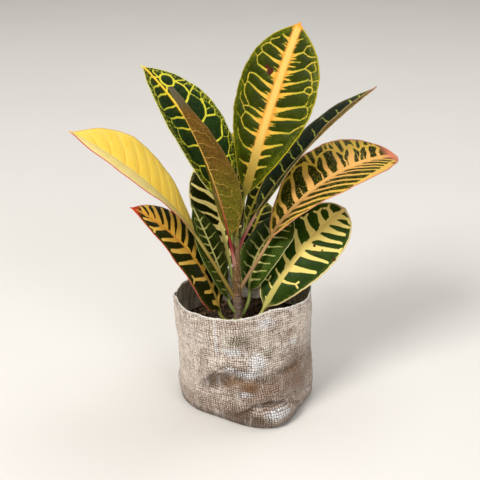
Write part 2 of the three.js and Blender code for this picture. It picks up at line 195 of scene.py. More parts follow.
def rough(points, sizes):
    """Uneven heights in mm at each point: a sum of noises, each of a size and a height."""
    heights = np.zeros(len(points))
    for size, height in sizes:
        heights += [height * noise.noise(Vector(point / size)) for point in points]
    return heights


def rim_tucks(angle):
    """Where the filled bag draws the cut edge in and out."""
    count, height = RIM_TUCKS
    return height * np.sin(count * angle + 2 * np.sin(3 * angle))


def bag_middle(share):
    return [mix(FOOT_OUTLINE["centre"][i], MOUTH_OUTLINE["centre"][i], share) for i in (0, 1)]


def wall_points(angle, z, inset):
    """The bag's wall, as in the solid, at heights measured on a mouth cut level."""
    share = z / MOUTH_HEIGHT
    foot, mouth = (
        outline["radius"] + lobed(outline["lobes"], angle) for outline in (FOOT_OUTLINE, MOUTH_OUTLINE))
    radius = mix(foot, mouth, share) - patches(BAG_DENTS, angle, z)
    radius = radius - np.interp(z, *zip(*FOOT_ROUNDING)) - inset
    x, y = bag_middle(share)
    lift = lobed(MOUTH_WAVES, angle) * share ** 3
    return np.stack([x + radius * np.cos(angle), y + radius * np.sin(angle), z + lift], -1)


def tube_faces(rows, columns):
    """Quads between a tube's rings, then fans that close its last and first ring on two added points."""
    around = [(i, (i + 1) % columns) for i in range(columns)]
    last = (rows - 1) * columns
    faces = [(row + i, row + j, row + columns + j, row + columns + i)
             for row in range(0, last, columns) for i, j in around]
    faces += [(last + i, last + j, last + columns) for i, j in around]
    return faces + [(j, i, last + columns + 1) for i, j in around]


def add_object(name, data):
    piece = bpy.data.objects.new(name, data)
    bpy.context.scene.collection.objects.link(piece)
    return piece


def plain_mesh(name, points, faces, attributes, uv=None):
    """A smooth mesh object from points in mm, with float attributes on its points and one UV map."""
    mesh = bpy.data.meshes.new(name)
    mesh.from_pydata((np.asarray(points) * MM).tolist(), [], faces)
    mesh.shade_smooth()
    for label, values in attributes.items():
        mesh.attributes.new(label, "FLOAT", "POINT").data.foreach_set("value", np.asarray(values, np.float32))
    if uv is not None:
        layer = mesh.uv_layers.new(name=uv[0])
        layer.uv.foreach_set("vector", np.asarray(uv[1], np.float32).ravel())
    return add_object(name, mesh)


def finish_piece(piece, material, slot, *nodes):
    """Gives a piece its material, lets it stand for its solids, and fixes it to the plant's one body."""
    piece.data.materials.clear()
    piece.data.materials.append(material)
    if nodes:
        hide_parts(*nodes)
    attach(piece, "root")


def tape_places(girth_line, rows):
    """Where each corner of each face lies in the weave, counted in tapes round the bag and up it."""
    girths = np.linalg.norm(girth_line - np.roll(girth_line, -1, axis=0), axis=1)
    tapes = 2 * round(girths.sum() / TAPE_PITCH / 2)
    around = np.append(0, np.cumsum(girths)) / girths.sum() * tapes
    sides = list(zip(around, around[1:]))
    corners = [corner for low, high in zip(rows, rows[1:]) for left, right in sides
               for corner in ((left, low), (right, low), (right, high), (left, high))]
    return corners + [corner for left, right in sides * 2
                      for corner in ((left, 0), (right, 0), (left, FLOOR_ROWS))]


def wall_fields(angle, z, pressed, insets):
    """The stains, with painted shade in the creases and dirt with a painted shadow at the foot, the cut
    edge, and what is inside the bag.
    """
    fields = {label: patches(spots, angle, z) for label, spots in STAINS.items()}
    # Painted shade in the pressed-in creases of the outer wall.
    fields["grime_and_shade"] += SHADE_IN_CREASES * np.clip(pressed, 0, 2) * (insets == 0)
    # Dirt and a painted shadow along the foot.
    fields["grime_and_shade"] += DIRT_AND_SHADOW_AT_FOOT[0] * np.exp(-(z / DIRT_AND_SHADOW_AT_FOOT[1]) ** 2)
    fields["rim"] = np.clip((z - MOUTH_HEIGHT + PALE_EDGE[0]) / PALE_EDGE[1], 0, 1)
    fields["height"] = z
    fields["inside"] = (insets > BAG_WALL / 2) + 0 * z
    return {label: np.append(field, [0, 0]) for label, field in fields.items()}


def bag_mesh():
    """Outer wall, rim, inner wall down to the floor, and the two bottoms, as one closed shell."""
    angle = np.linspace(0, 2 * np.pi, BAG_COLUMNS, endpoint=False)
    edge, rounded = RIM_ROUNDING
    rim = [MOUTH_HEIGHT - edge, MOUTH_HEIGHT]
    outer = [*FOOT_ROWS, *np.arange(FOOT_ROWS[-1] + 2, MOUTH_HEIGHT - 1, BAG_ROW_STEP), *rim]
    inner = [*rim[::-1], *np.arange(MOUTH_HEIGHT - 3, INNER_ROWS_TO, -INNER_ROW_STEP), *HIDDEN_ROWS]
    levels = np.array(outer + inner)
    insets = np.repeat([0, BAG_WALL], [len(outer), len(inner)])
    insets[len(outer) - 1] = rounded
    insets[len(outer)] = BAG_WALL - rounded
    insets[-len(HIDDEN_ROWS):] = HIDDEN_INSET
    insets = insets[:, None]
    a, z = np.meshgrid(angle, levels)
    smooth = np.clip(z / SMOOTH_FOOT, 0, 1)
    tucks = rim_tucks(a) * np.clip((z - TUCKS_FROM) / (MOUTH_HEIGHT - TUCKS_FROM), 0, 1) ** 2
    pressed = crease_depth(a, z) * smooth - tucks
    swelling = rough(wall_points(a, z, 0).reshape(-1, 3), CRUMPLE).reshape(a.shape) * smooth * CRUMPLE_SHARE
    points = wall_points(a, z, pressed - swelling + insets)
    slow, quick, fine = (np.sin(waves * a + phase) for waves, phase in zip(CUT_WAVES, (0, 1, 0)))
    ragged = CUT_HEIGHTS[0] * slow * quick + CUT_HEIGHTS[1] * fine
    points[..., 2] += ragged * np.clip((z - MOUTH_HEIGHT + RAGGED_RIM) / RAGGED_RIM, 0, 1)
    fields = wall_fields(a, z, pressed, insets)
    uv = tape_places(points[GIRTH_ROW], levels / TAPE_PITCH)
    middle = FOOT_OUTLINE["centre"]
    points = [*points.reshape(-1, 3), [*middle, BAG_FLOOR], [*middle, 0]]
    return plain_mesh("woven_grow_bag", points, tube_faces(*a.shape), fields, ("tapes", uv))


def paint(code):
    """A colour as the nodes take it, from its usual six-digit screen code."""
    parts = [int(code[i:i + 2], 16) / 255 for i in (0, 2, 4)]
    return (*[p / 12.92 if p <= 0.04045 else ((p + 0.055) / 1.055) ** 2.4 for p in parts], 1)


class Value:
    """What flows out of a node. A sign between two of them, or one and a number, adds a Math node."""

    def __init__(self, nodes, socket):
        self.nodes = nodes
        self.socket = socket

    def __add__(self, other):
        return self.nodes.math("ADD", self, other)

    def __sub__(self, other):
        return self.nodes.math("SUBTRACT", self, other)

    def __rsub__(self, other):
        return self.nodes.math("SUBTRACT", other, self)

    def __mul__(self, other):
        return self.nodes.math("MULTIPLY", self, other)

    def __truediv__(self, other):
        return self.nodes.math("DIVIDE", self, other)

    def __rtruediv__(self, other):
        return self.nodes.math("DIVIDE", other, self)


class Nodes:
    """Adds nodes to one tree. An input may be given a number, a colour or what flows out of another node."""

    def __init__(self, tree):
        self.tree = tree

    def give(self, node, values):
        for key, value in (values.items() if isinstance(values, dict) else enumerate(values)):
            if isinstance(value, Value):
                self.tree.links.new(value.socket, node.inputs[key])
            else:
                node.inputs[key].default_value = value

    def add(self, kind, values=(), **settings):
        node = self.tree.nodes.new(kind)
        for key, value in settings.items():
            setattr(node, key, value)
        self.give(node, values)
        return node

    def out(self, kind, values=(), output=0, **settings):
        return Value(self, self.add(kind, values, **settings).outputs[output])

    def outs(self, kind, values, *names, **settings):
        node = self.add(kind, values, **settings)
        return [Value(self, node.outputs[name]) for name in names]

    def group(self, tree, values):
        """All that flows out of a node group, in its own order."""
        node = self.add("ShaderNodeGroup", node_tree=tree)
        self.give(node, values)
        return [Value(self, socket) for socket in node.outputs]

    def math(self, operation, *values):
        return self.out("ShaderNodeMath", values, operation=operation)

    def mix(self, share, a, b):
        a, b = (paint(tone) if isinstance(tone, str) else tone for tone in (a, b))
        return self.out("ShaderNodeMix", {0: share, 6: a, 7: b}, 2, data_type="RGBA")

    def step(self, value, low, high, start=0.0, end=1.0):
        values = (value, low, high, start, end)
        return self.out("ShaderNodeMapRange", values, interpolation_type="SMOOTHSTEP")

    def wash(self, colour, tone, value, low, high, most=1.0):
        """A tone laid over a colour, the more so as a value goes from low to high."""
        return self.mix(self.step(value, low, high, 0.0, most), colour, tone)

    def vector(self, x, y, z=0.0):
        return self.out("ShaderNodeCombineXYZ", (x, y, z))

    def scaled(self, vector, factor):
        return self.out("ShaderNodeVectorMath", {0: vector, 3: factor}, operation="SCALE")

    def shifted(self, place, drift, amount):
        """A place moved by the three channels of a noise's colour."""
        return self.out("ShaderNodeVectorMath", (place, self.scaled(drift, amount)), operation="ADD")

    def stretched(self, place, scale, turn=0.0):
        return self.out("ShaderNodeMapping", {"Vector": place, "Rotation": (0, 0, turn), "Scale": scale})

    def field(self, name):
        return self.out("ShaderNodeAttribute", output="Fac", attribute_name=name)

    def places(self, size):
        """Object coordinates counted in steps of size, in mm."""
        return self.scaled(self.out("ShaderNodeTexCoord", output="Object"), 1 / (size * MM))

    def noise(self, vector, detail=3.0, rough=0.55, scale=1.0, output="Fac"):
        values = {"Vector": vector, "Scale": scale, "Detail": detail, "Roughness": rough}
        return self.out("ShaderNodeTexNoise", values, output)

    def grain(self, size, detail=3.0, rough=0.55):
        return self.noise(self.places(size), detail, rough)

    def cells(self, vector, scale=1.0, feature="DISTANCE_TO_EDGE"):
        values = {"Vector": vector, "Scale": scale}
        return self.out("ShaderNodeTexVoronoi", values, "Distance", feature=feature)


def shader_group(name, inputs, *numbers):
    """A shader node group: named inputs with their first values, a colour if asked, and number outputs."""
    tree = bpy.data.node_groups.new(name, "ShaderNodeTree")
    for label, first in inputs.items():
        size = len(first) if isinstance(first, tuple) else 1
        kind = {1: "NodeSocketFloat", 3: "NodeSocketVector", 4: "NodeSocketColor"}[size]
        tree.interface.new_socket(label, in_out="INPUT", socket_type=kind).default_value = first
    for label in numbers:
        kind = "NodeSocketColor" if label == "Colour" else "NodeSocketFloat"
        tree.interface.new_socket(label, in_out="OUTPUT", socket_type=kind)
    nodes = Nodes(tree)
    return nodes, {socket.name: Value(nodes, socket) for socket in nodes.add("NodeGroupInput").outputs}


def new_material(name, specular):
    """A material with one Principled shader, whose constant sockets are set on it directly."""
    material = bpy.data.materials.new(name)
    material.use_nodes = True
    material.node_tree.nodes.clear()
    nodes = Nodes(material.node_tree)
    shader = nodes.add("ShaderNodeBsdfPrincipled", {"Specular IOR Level": specular})
    nodes.add("ShaderNodeOutputMaterial", {0: Value(nodes, shader.outputs[0])})
    return material, nodes, shader


def wire(nodes, shader, colour, roughness, height=None, depth=0.3, strength=1.0):
    """Feeds a shader its colour, roughness and bump height; depth is the bump's size in mm."""
    nodes.give(shader, {"Base Color": colour, "Roughness": roughness})
    if height is not None:
        bump = nodes.out("ShaderNodeBump", {"Height": height, "Distance": depth * MM, "Strength": strength})
        nodes.give(shader, {"Normal": bump})


def tape_weave_group():
    """Plain weave of flat tapes: how high the upper tape arches, the gaps round it, and each tape's tint."""
    nodes, given = shader_group(
        "tape_weave", {"Place": (0.0, 0.0, 0.0), "Gap": 0.12}, "Height", "Gaps", "Crown", "Tint")
    x, y = nodes.outs("ShaderNodeSeparateXYZ", [given["Place"]], "X", "Y")
    column, row = (nodes.math("FLOOR", place) for place in (x, y))
    beside, above = (nodes.math("ABSOLUTE", place - cell - 0.5) for place, cell in ((x, column), (y, row)))
    upright = nodes.math("PINGPONG", column + row, 1.0)
    level = 1.0 - upright
    edge = 0.5 - given["Gap"]
    warp, weft = (nodes.step(across, edge, 0.5, 1.0, 0.0) * nodes.math("COSINE", along * 2.6)
                  for across, along in ((beside, above), (above, beside)))
    height = warp * upright + weft * level
    tape = column * upright + (row + 517.0) * level
    tint = nodes.out("ShaderNodeTexWhiteNoise", {"W": tape}, "Value", noise_dimensions="1D")
    crossing = nodes.out("ShaderNodeTexWhiteNoise", {"Vector": nodes.vector(column, row)}, "Value",
                         noise_dimensions="3D")
    nodes.add("NodeGroupOutput", {
        "Height": height, "Gaps": nodes.step(height, 0.66, 0.2), "Crown": nodes.step(height, 0.78, 1.0),
        "Tint": tint * 0.5 + crossing * 0.5})
    return nodes.tree


def bag_material(weave):
    """Off-white tape, worn bright and with a painted highlight where it arches, painted shade and dirt
    between the tapes, and stains that have soaked in crossing by crossing. The cut rim is cleaner and whiter."""
    material, nodes, shader = new_material("woven_tape", 0.35)
    tapes = nodes.out("ShaderNodeUVMap", uv_map="tapes")
    place = nodes.shifted(tapes, nodes.noise(nodes.places(16), 4.0, 0.5, output="Color"), 2.6)
    arched, between, crown, tint = nodes.group(weave, {"Place": place})
    rust, algae, chalk_and_sheen, grime_and_shade, dust, bleached_and_lit, height = (
        nodes.field(name) for name in ("rust", "algae", "chalk_and_sheen", "grime_and_shade", "dust", "bleached_and_lit", "height"))
    fine = nodes.grain(2.2, 4.0, 0.7)
    broad = nodes.grain(24, 4.0, 0.6)
    mottle = nodes.grain(6, 4.0, 0.7)
    smears = nodes.grain(9, 5.0, 0.75)
    pulled = nodes.noise(nodes.stretched(tapes, (0.85, 0.2, 1.0), 0.75), 4.0, 0.65)
    rubbed = nodes.noise(nodes.stretched(tapes, (0.13, 0.62, 1.0)), 4.0, 0.65)
    striped = nodes.noise(nodes.stretched(tapes, (0.34, 0.1, 1.0), 0.9), 4.0, 0.7)
    soaked = mottle * 0.9 + tint * 0.8 + 0.2
    tape = nodes.mix(tint, "a38d7b", "ecddce")
    # Washes of tone. The grime, chalk and bleached ones also carry painted shade, highlights and light.
    for tone, value, low, high, most in (
            ("b89c86", broad, 0.42, 0.68, 0.6), ("927662", mottle, 0.46, 0.7, 0.6),
            ("8c6a54", height + mottle * 50.0, 112.0, 40.0, 0.45),
            ("f6ebe0", smears, 0.54, 0.66, 0.6), ("7d6250", smears, 0.44, 0.34, 0.55),
            ("f8ede2", pulled, 0.52, 0.62, 0.4), ("826552", pulled, 0.47, 0.38, 0.4),
            ("fdf2e8", rubbed, 0.52, 0.64, 0.65), ("7a5d4a", rubbed, 0.47, 0.36, 0.6),
            ("ffeedd", bleached_and_lit * soaked, 0.12, 0.85, 0.5), ("7e5f49", dust * soaked, 0.12, 0.85, 0.8),
            ("dcdfe4", chalk_and_sheen * soaked, 0.12, 0.85, 0.7), ("8a5c26", rust * soaked, 0.12, 0.85, 0.6),
            ("646028", algae * soaked, 0.12, 0.85, 0.8), ("4a3828", grime_and_shade * soaked, 0.12, 0.85, 0.8),
            ("fbf3ea", striped, 0.52, 0.62, 0.22), ("705a48", striped, 0.47, 0.38, 0.45)):
        tape = nodes.wash(tape, tone, value, low, high, most)
    # Dirt and painted shade, under which the tape crowns are less bright.
    soiled_and_shaded = grime_and_shade * 0.6 + rust * 0.4 + dust * 0.3
    # Worn tape crowns with a painted highlight on them.
    worn_and_highlight = crown * nodes.step(fine, 0.35, 0.6, 0.2, 1.0) * (0.85 - soiled_and_shaded)
    colour = nodes.mix(nodes.math("MAXIMUM", worn_and_highlight, 0.0), tape, "fff6ec")
    # Painted bluish-white highlights on the arching tapes where chalk spots lie.
    chalky_sheen = crown * nodes.step(chalk_and_sheen, 0.15, 0.6) * nodes.step(fine, 0.4, 0.5)
    colour = nodes.mix(chalky_sheen, colour, "fafcff")
    # Painted shade and dirt in the gaps between the tapes, outside and on the inner wall.
    gap_shade = between * nodes.step(mottle, 0.36, 0.64, 0.3, 0.95)
    colour = nodes.mix(gap_shade, colour, nodes.mix(0.8, tape, "463226"))
    colour = nodes.wash(colour, "4a382b", nodes.grain(2.4, 3.0, 0.7), 0.55, 0.66, 0.8)
    streaks = nodes.noise(nodes.stretched(tapes, (0.9, 0.09, 1.0)))
    inner = nodes.mix(nodes.step(streaks, 0.35, 0.65), "b4a492", "fff4e6")
    inner = nodes.mix(gap_shade, inner, "54463a")
    colour = nodes.mix(nodes.field("inside"), colour, inner)
    colour = nodes.mix(nodes.field("rim"), colour, "f1ece4")
    wire(nodes, shader, colour, nodes.step(arched, 0.0, 1.0, 0.85, 0.48), arched + fine * 0.5, 0.8, 1.0)
    return material


bag_finish = bag_material(tape_weave_group())
bag = bag_mesh()
finish_piece(bag, bag_finish, "woven_tape", "grow_bag")


# The cut rim's frayed tape ends: where the sack was cut, the upright tapes stand up a little, each to a
# height of its own. They are part of the woven wall.

FRAY_WIDTH = 2.2
FRAY_HEIGHT = (0.3, 1.5)
FRAY_THICKNESS = 0.16
FRAY_RAISED = 0.4
FRAY_ROOTED = 0.2
FRAY_LEAN = (0.25, 0.05, 0.3)
FRAYED_TAPES = 170


def geometry_tree(name, *numbers):
    """A geometry node tree with one mesh input and named number inputs."""
    tree = bpy.data.node_groups.new(name, "GeometryNodeTree")
    tree.interface.new_socket("Mesh", in_out="INPUT", socket_type="NodeSocketGeometry")
    for label in numbers:
        tree.interface.new_socket(label, in_out="INPUT", socket_type="NodeSocketFloat")
    tree.interface.new_socket("Mesh", in_out="OUTPUT", socket_type="NodeSocketGeometry")
    nodes = Nodes(tree)
    return nodes, {socket.name: Value(nodes, socket) for socket in nodes.add("NodeGroupInput").outputs}


def random(nodes, low, high, seed, kind="FLOAT"):
    node = nodes.add("FunctionNodeRandomValue", data_type=kind)
    sockets = [i for i, socket in enumerate(node.inputs) if socket.enabled]
    nodes.give(node, {sockets[0]: low, sockets[1]: high, "Seed": seed})
    return Value(nodes, next(socket for socket in node.outputs if socket.enabled))


def close_tree(nodes, geometry, material):
    """Ends a tree: the copies become real faces and get their material."""
    real = nodes.out("GeometryNodeRealizeInstances", [geometry])
    painted = nodes.out("GeometryNodeSetMaterial", {"Geometry": real, "Material": material})
    nodes.add("NodeGroupOutput", [painted])


def grown_by(tree, name, source, values):
    """A plain mesh piece from what the tree makes of the source mesh; the source is used up."""
    modifier = source.modifiers.new(tree.name, "NODES")
    modifier.node_group = tree
    for item in tree.interface.items_tree:
        if item.item_type == "SOCKET" and item.in_out == "INPUT" and item.name in values:
            modifier[item.identifier] = values[item.name]
    bpy.context.view_layer.update()
    evaluated = source.evaluated_get(bpy.context.evaluated_depsgraph_get())
    mesh = bpy.data.meshes.new_from_object(evaluated)
    source.modifiers.clear()
    bpy.data.objects.remove(source)
    mesh.name = name
    return add_object(name, mesh)


def fray_tree(material):
    """One short tape end at each point of the rim line, turned along the rim, of random height and lean."""
    nodes, given = geometry_tree("frayed_rim", "Width", "Low", "High")
    size = nodes.vector(given["Width"], FRAY_THICKNESS * MM, MM)
    strip = nodes.out("GeometryNodeMeshCube", (size, 3, 2, 3))
    raised = nodes.out("GeometryNodeTransform", {"Geometry": strip, "Translation": (0, 0, FRAY_RAISED * MM)})
    line = nodes.out("GeometryNodeMeshToCurve", [given["Mesh"]])
    points, tangent = nodes.outs("GeometryNodeCurveToPoints", [line], "Points", "Tangent", mode="EVALUATED")
    aligned = nodes.out("FunctionNodeAlignRotationToVector", {"Vector": tangent}, axis="X")
    tilt = random(nodes, [-lean for lean in FRAY_LEAN], FRAY_LEAN, 7, "FLOAT_VECTOR")
    turned = nodes.out("FunctionNodeRotateRotation", (aligned, tilt), rotation_space="LOCAL")
    tall = random(nodes, 0.0, 1.0, 3) * random(nodes, 0.0, 1.0, 5)
    height = given["Low"] + tall * (given["High"] - given["Low"])
    size = nodes.vector(1.0, 1.0, height / MM)
    copies = nodes.out("GeometryNodeInstanceOnPoints", {
        "Points": points, "Instance": raised, "Rotation": turned, "Scale": size})
    close_tree(nodes, copies, material)
    return nodes.tree


def rim_line():
    """The middle of the cut edge, with a point for each upright tape."""
    angle = np.linspace(0, 2 * np.pi, FRAYED_TAPES, endpoint=False)
    z = np.full(FRAYED_TAPES, float(MOUTH_HEIGHT))
    swelling = CRUMPLE_SHARE * rough(wall_points(angle, z, 0), CRUMPLE)
    points = wall_points(angle, z, BAG_WALL / 2 - rim_tucks(angle) - swelling)
    points[:, 2] -= FRAY_ROOTED
    mesh = bpy.data.meshes.new("rim_line")
    mesh.from_pydata((points * MM).tolist(), [(i, (i + 1) % FRAYED_TAPES) for i in range(FRAYED_TAPES)], [])
    return add_object("rim_line", mesh)


def fray_material():
    material, nodes, shader = new_material("tape_ends", 0.35)
    tone = nodes.grain(3)
    wire(nodes, shader, nodes.mix(tone, "d9cfc0", "f6f2ea"), nodes.step(tone, 0.2, 0.8, 0.45, 0.7), tone, 0.1)
    return material


fray = grown_by(fray_tree(fray_material()), "frayed_tape_ends", rim_line(),
                {"Width": FRAY_WIDTH * MM, "Low": FRAY_HEIGHT[0] * MM, "High": FRAY_HEIGHT[1] * MM})
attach(fray, "root")


# The potting soil: dark, damp and crumbly, filled into the bag by hand and a little higher round the
# stem. Loose crumbs and a few pale bits of bark lie on it.

SOIL_LEVEL = 103
SOIL_DOME = 3
SOIL_LUMPS = 0.6
SOIL_SWELLS = (7, 9, 13, 11)
# Lumps of three sizes: size, height, and a level of the noise to read.
SOIL_ROUGHNESS = ((9, 2.2, 0), (3.4, 1.1, 5), (1.5, 0.5, 9))
SOIL_INSET = BAG_WALL + 0.1
SOIL_FOOT = 4
SOIL_WALL_ROWS = (SOIL_FOOT, 30, 60, 85)
SOIL_SIDES = 160
SOIL_RINGS = 56
INNERMOST_RING = 0.02
CRUMBS_WITHIN = 0.94
CRUMBS = {"Density": 80000.0, "Size": 0.7 * MM, "Largest": 3.2 * MM}


def soil_height(x, y):
    a, b, c, d = SOIL_SWELLS
    return SOIL_LEVEL + SOIL_LUMPS * (np.sin(x / a + 1) * np.cos(y / b) + np.sin(x / c - y / d))


def soil_mesh():
    """The filling: its wall follows the bag's, and its top is lumpy at three sizes."""
    angle = np.linspace(0, 2 * np.pi, SOIL_SIDES, endpoint=False)
    edge_height = SOIL_LEVEL - SOIL_DOME

    def ring(z, inset):
        return wall_points(angle, np.full(SOIL_SIDES, float(z)), inset)

    rings = [ring(z, HIDDEN_INSET + 1) for z in (*SOIL_WALL_ROWS, edge_height - 2)]
    edge = ring(edge_height, SOIL_INSET)
    middle = np.array(bag_middle(SOIL_LEVEL / MOUTH_HEIGHT))
    shares = np.linspace(1, INNERMOST_RING, SOIL_RINGS)
    top = np.repeat([*[0] * len(rings), *(shares < CRUMBS_WITHIN)], SOIL_SIDES)
    for share in shares:
        flat = middle + (edge[:, :2] - middle) * share
        lumps = sum(np.array([height * noise.noise(Vector((x / size, y / size, level))) for x, y in flat])
                    for size, height, level in SOIL_ROUGHNESS)
        dome = soil_height(flat[:, 0], flat[:, 1]) - SOIL_DOME * share ** 4
        rings.append(np.column_stack([flat, dome + lumps]))
    points = np.vstack([*rings, [*middle, rings[-1][:, 2].mean()], [*middle, SOIL_FOOT]])
    fields = {"top": np.append(top, [1, 0])}
    return plain_mesh("potting_soil", points, tube_faces(len(rings), SOIL_SIDES), fields)


def soil_material(name, dark, light, pale):
    material, nodes, shader = new_material(name, 0.25)
    fine = nodes.grain(2.2, 6.0, 0.7)
    colour = nodes.mix(nodes.step(fine, 0.3, 0.75), dark, light)
    colour = nodes.wash(colour, pale, nodes.grain(11), 0.5, 0.72, 0.6)
    colour = nodes.wash(colour, "6d5540", nodes.cells(nodes.places(2.4), 1.0, "F1"), 0.16, 0.1, 0.6)
    wire(nodes, shader, colour, nodes.step(fine, 0.2, 0.8, 0.75, 0.98), fine, 1.2, 0.9)
    return material


def crumb_tree(material):
    """Crumbs on the soil's top: small uneven lumps, most of them tiny, turned at random."""
    nodes, given = geometry_tree("soil_crumbs", "Density", "Size", "Largest")
    top = nodes.out("GeometryNodeInputNamedAttribute", {"Name": "top"}, "Attribute", data_type="FLOAT")
    chosen = nodes.out("FunctionNodeCompare", [top, 0.5], data_type="FLOAT", operation="GREATER_THAN")
    spread = nodes.out("GeometryNodeDistributePointsOnFaces", {
        "Mesh": given["Mesh"], "Selection": chosen, "Density": given["Density"], "Seed": 11}, "Points")
    crumb = nodes.out("GeometryNodeMeshIcoSphere", {"Radius": 1.0, "Subdivisions": 1})
    uneven = nodes.out("ShaderNodeTexNoise", {"Scale": 1.3}, "Color", noise_dimensions="3D")
    lump = nodes.out("GeometryNodeSetPosition", {"Geometry": crumb, "Offset": nodes.scaled(uneven, 1.1)})
    share = nodes.math("POWER", random(nodes, 0.0, 1.0, 5), 4.0)
    size = given["Size"] + share * (given["Largest"] - given["Size"])
    turned = random(nodes, (0, 0, 0), (6.28, 6.28, 6.28), 9, "FLOAT_VECTOR")
    copies = nodes.out("GeometryNodeInstanceOnPoints", {
        "Points": spread, "Instance": lump, "Rotation": turned, "Scale": size})
    close_tree(nodes, copies, material)
    return nodes.tree


soil_finish = soil_material("soil", "1c130d", "4a382a", "33261b")
soil = soil_mesh()
bed = soil.copy()
bpy.context.scene.collection.objects.link(bed)
finish_piece(soil, soil_finish, "soil", "soil")
crumb_finish = soil_material("soil_crumbs", "2b1f16", "8a6a4e", "5c4634")
crumbs = grown_by(crumb_tree(crumb_finish), "soil_crumbs", bed, CRUMBS)
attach(crumbs, "root")


# The stem: a young woody trunk, greyish brown below, reddish brown above and green at its tip. Every
# fallen leaf has left a scar like a shallow ring, and fine cracks roughen the bark.

STEM_FOOT = (-2.5, 0)
STEM_DEPTH = 44
STEM_BENDS_AT = 112
STEM_LEAN = (-2.5 / 103, -4 / 103)
STEM_TOP = 218
STEM_RADII = [(SOIL_LEVEL - STEM_DEPTH, 6), (112, 5.2), (160, 4.8), (204, 4.2), (STEM_TOP, 2.4)]
LEAF_SCARS = (122, 130, 139, 148, 158, 180, 194)
LEAF_SPIRAL = 137.5
# A scar: its height, its half-angle in radians, its half-width, and the swelling it sits on.
SCAR_HEIGHT = 0.5
SCAR_REACH = 0.8
SCAR_WIDTH = 1.2
SCAR_SWELLING = (0.2, 2.5)
STEM_SIDES = 48
STEM_STEP = 0.8
BARK_ROUGHNESS = ((np.array([3, 3, 7]), 0.6), (np.array([1.2, 1.2, 3]), 0.35))


def stem_axis(z):
    above = np.maximum(z - STEM_BENDS_AT, 0)
    x, y = (foot + lean * above for foot, lean in zip(STEM_FOOT, STEM_LEAN))
    return np.stack([x, y, z + 0 * above], -1)


def stem_mesh():
    """A lofted trunk with scar rings that are deeper on one side, where the leaf stood, and rough bark."""
    heights = np.arange(SOIL_LEVEL - STEM_DEPTH, STEM_TOP + 0.1, STEM_STEP)
    a, z = np.meshgrid(np.linspace(0, 2 * np.pi, STEM_SIDES, endpoint=False), heights)
    radius = np.interp(z, *zip(*STEM_RADII))
    for index, scar in enumerate(LEAF_SCARS):
        close = np.exp(-(turn_between(a, index * LEAF_SPIRAL) / SCAR_REACH) ** 2)
        lip = np.exp(-((z - scar - 1) / SCAR_WIDTH) ** 2) - np.exp(-(z - scar + SCAR_WIDTH) ** 2)
        radius += SCAR_HEIGHT * close * lip
        radius += SCAR_SWELLING[0] * np.exp(-((z - scar) / SCAR_SWELLING[1]) ** 2)

    def trunk():
        return stem_axis(z) + np.stack([radius * np.cos(a), radius * np.sin(a), 0 * z], -1)

    bark = rough(trunk().reshape(-1, 3), BARK_ROUGHNESS)
    radius = radius + np.reshape(bark, radius.shape)
    points = np.vstack([trunk().reshape(-1, 3), stem_axis(STEM_TOP + 1.5), stem_axis(heights[0])])
    scars = sum(np.exp(-(z - scar) ** 2) for scar in LEAF_SCARS)
    fields = {"height": np.append(z, [STEM_TOP, heights[0]]), "scar": np.append(scars, [0, 0])}
    return plain_mesh("woody_stem", points, tube_faces(*a.shape), fields)


def bark_material():
    material, nodes, shader = new_material("bark", 0.3)
    fine = nodes.grain(1.4, 5.0, 0.65)
    broad = nodes.grain(8)
    cracks = nodes.noise(nodes.stretched(nodes.places(1.5), (1.0, 1.0, 0.22)), 5.0, 0.7)
    height = nodes.field("height")
    colour = nodes.mix(nodes.step(height, 128, 148), nodes.mix(broad, "7d6153", "a18a7c"),
                       nodes.mix(broad, "6a4326", "85683a"))
    colour = nodes.wash(colour, "7d8038", height, 196, 216)
    colour = nodes.wash(colour, "bba89b", cracks, 0.52, 0.66, 0.6)
    colour = nodes.wash(colour, "42301f", cracks, 0.47, 0.36, 0.75)
    colour = nodes.mix(nodes.field("scar") * nodes.step(broad, 0.4, 0.6, 0.1, 0.6), colour, "4d3c30")
    wire(nodes, shader, colour, nodes.step(fine, 0.2, 0.8, 0.6, 0.85), cracks, 0.8, 0.9)
    return material


stem = stem_mesh()
finish_piece(stem, bark_material(), "bark", "stem")


# The crown leaf: the tall one at the top, olive green, with a broad orange-yellow midrib. Each leaf is one
# living piece: a round stalk that grows from the stem and flattens into a leathery blade, with a keel
# under its midrib. Its side veins, net and margin are pale where the green is missing.

STALK_RADIUS = (2.4, 1.8)
BLADE_THICKNESS = (0.9, 0.45)
TIP_WIDTH = 0.5
BLUNT_LENGTH = 20
KEEL_WIDTH = (2.2, 0.7)
KEEL_DEPTH = (1.6, 0.3)
MIDRIB_RISE = 0.25
HALF_ARCH = -14
STALK_MERGES_OVER = 0.1
MARGIN_WAVE = 0.6
WAVES_PER_BLADE = 3
MIDRIB_STEPS = 96
STALK_STEP = 2.0
GRID = (1.05, 1.25)
QUILTING = 0.45
STEM_SEAT = 3.4
STALK_FLARE = (0.22, 4)
STALK_HALF_TURN = 86
# Small waves of the edge: their turns in radians over the blade, and their share of the width.
EDGE_RIPPLES = ((60, 0.006), (131, 0.004))
EDGE_CURL = (0.3, 5.5)
RIGHT_WAVES_LATER = 0.6 * np.pi
# The quilting is full at these distances from a vein and from the margin.
CUSHION_SPREAD = (4.5, 5)
# Side veins lie in a groove on the upper face and stand out below.
VEIN_RELIEF = (-0.12, 0.22)
BAR_STEPS = 9
ARC_STEPS = 6
ARC_BOW = 0.2
SWAY_TURN = 7
FORK_TURNS = (-0.85, 0.8)
FORK_SPREAD = (0.8, 1.2)
TWIG_ROOTS = (0.15, 0.85)
TWIG_REACH = 97
TWIG_RISE = 5
TOOTH_SLOPES = (0.1, 0.5)
EXTRA_SHARE = 0.7
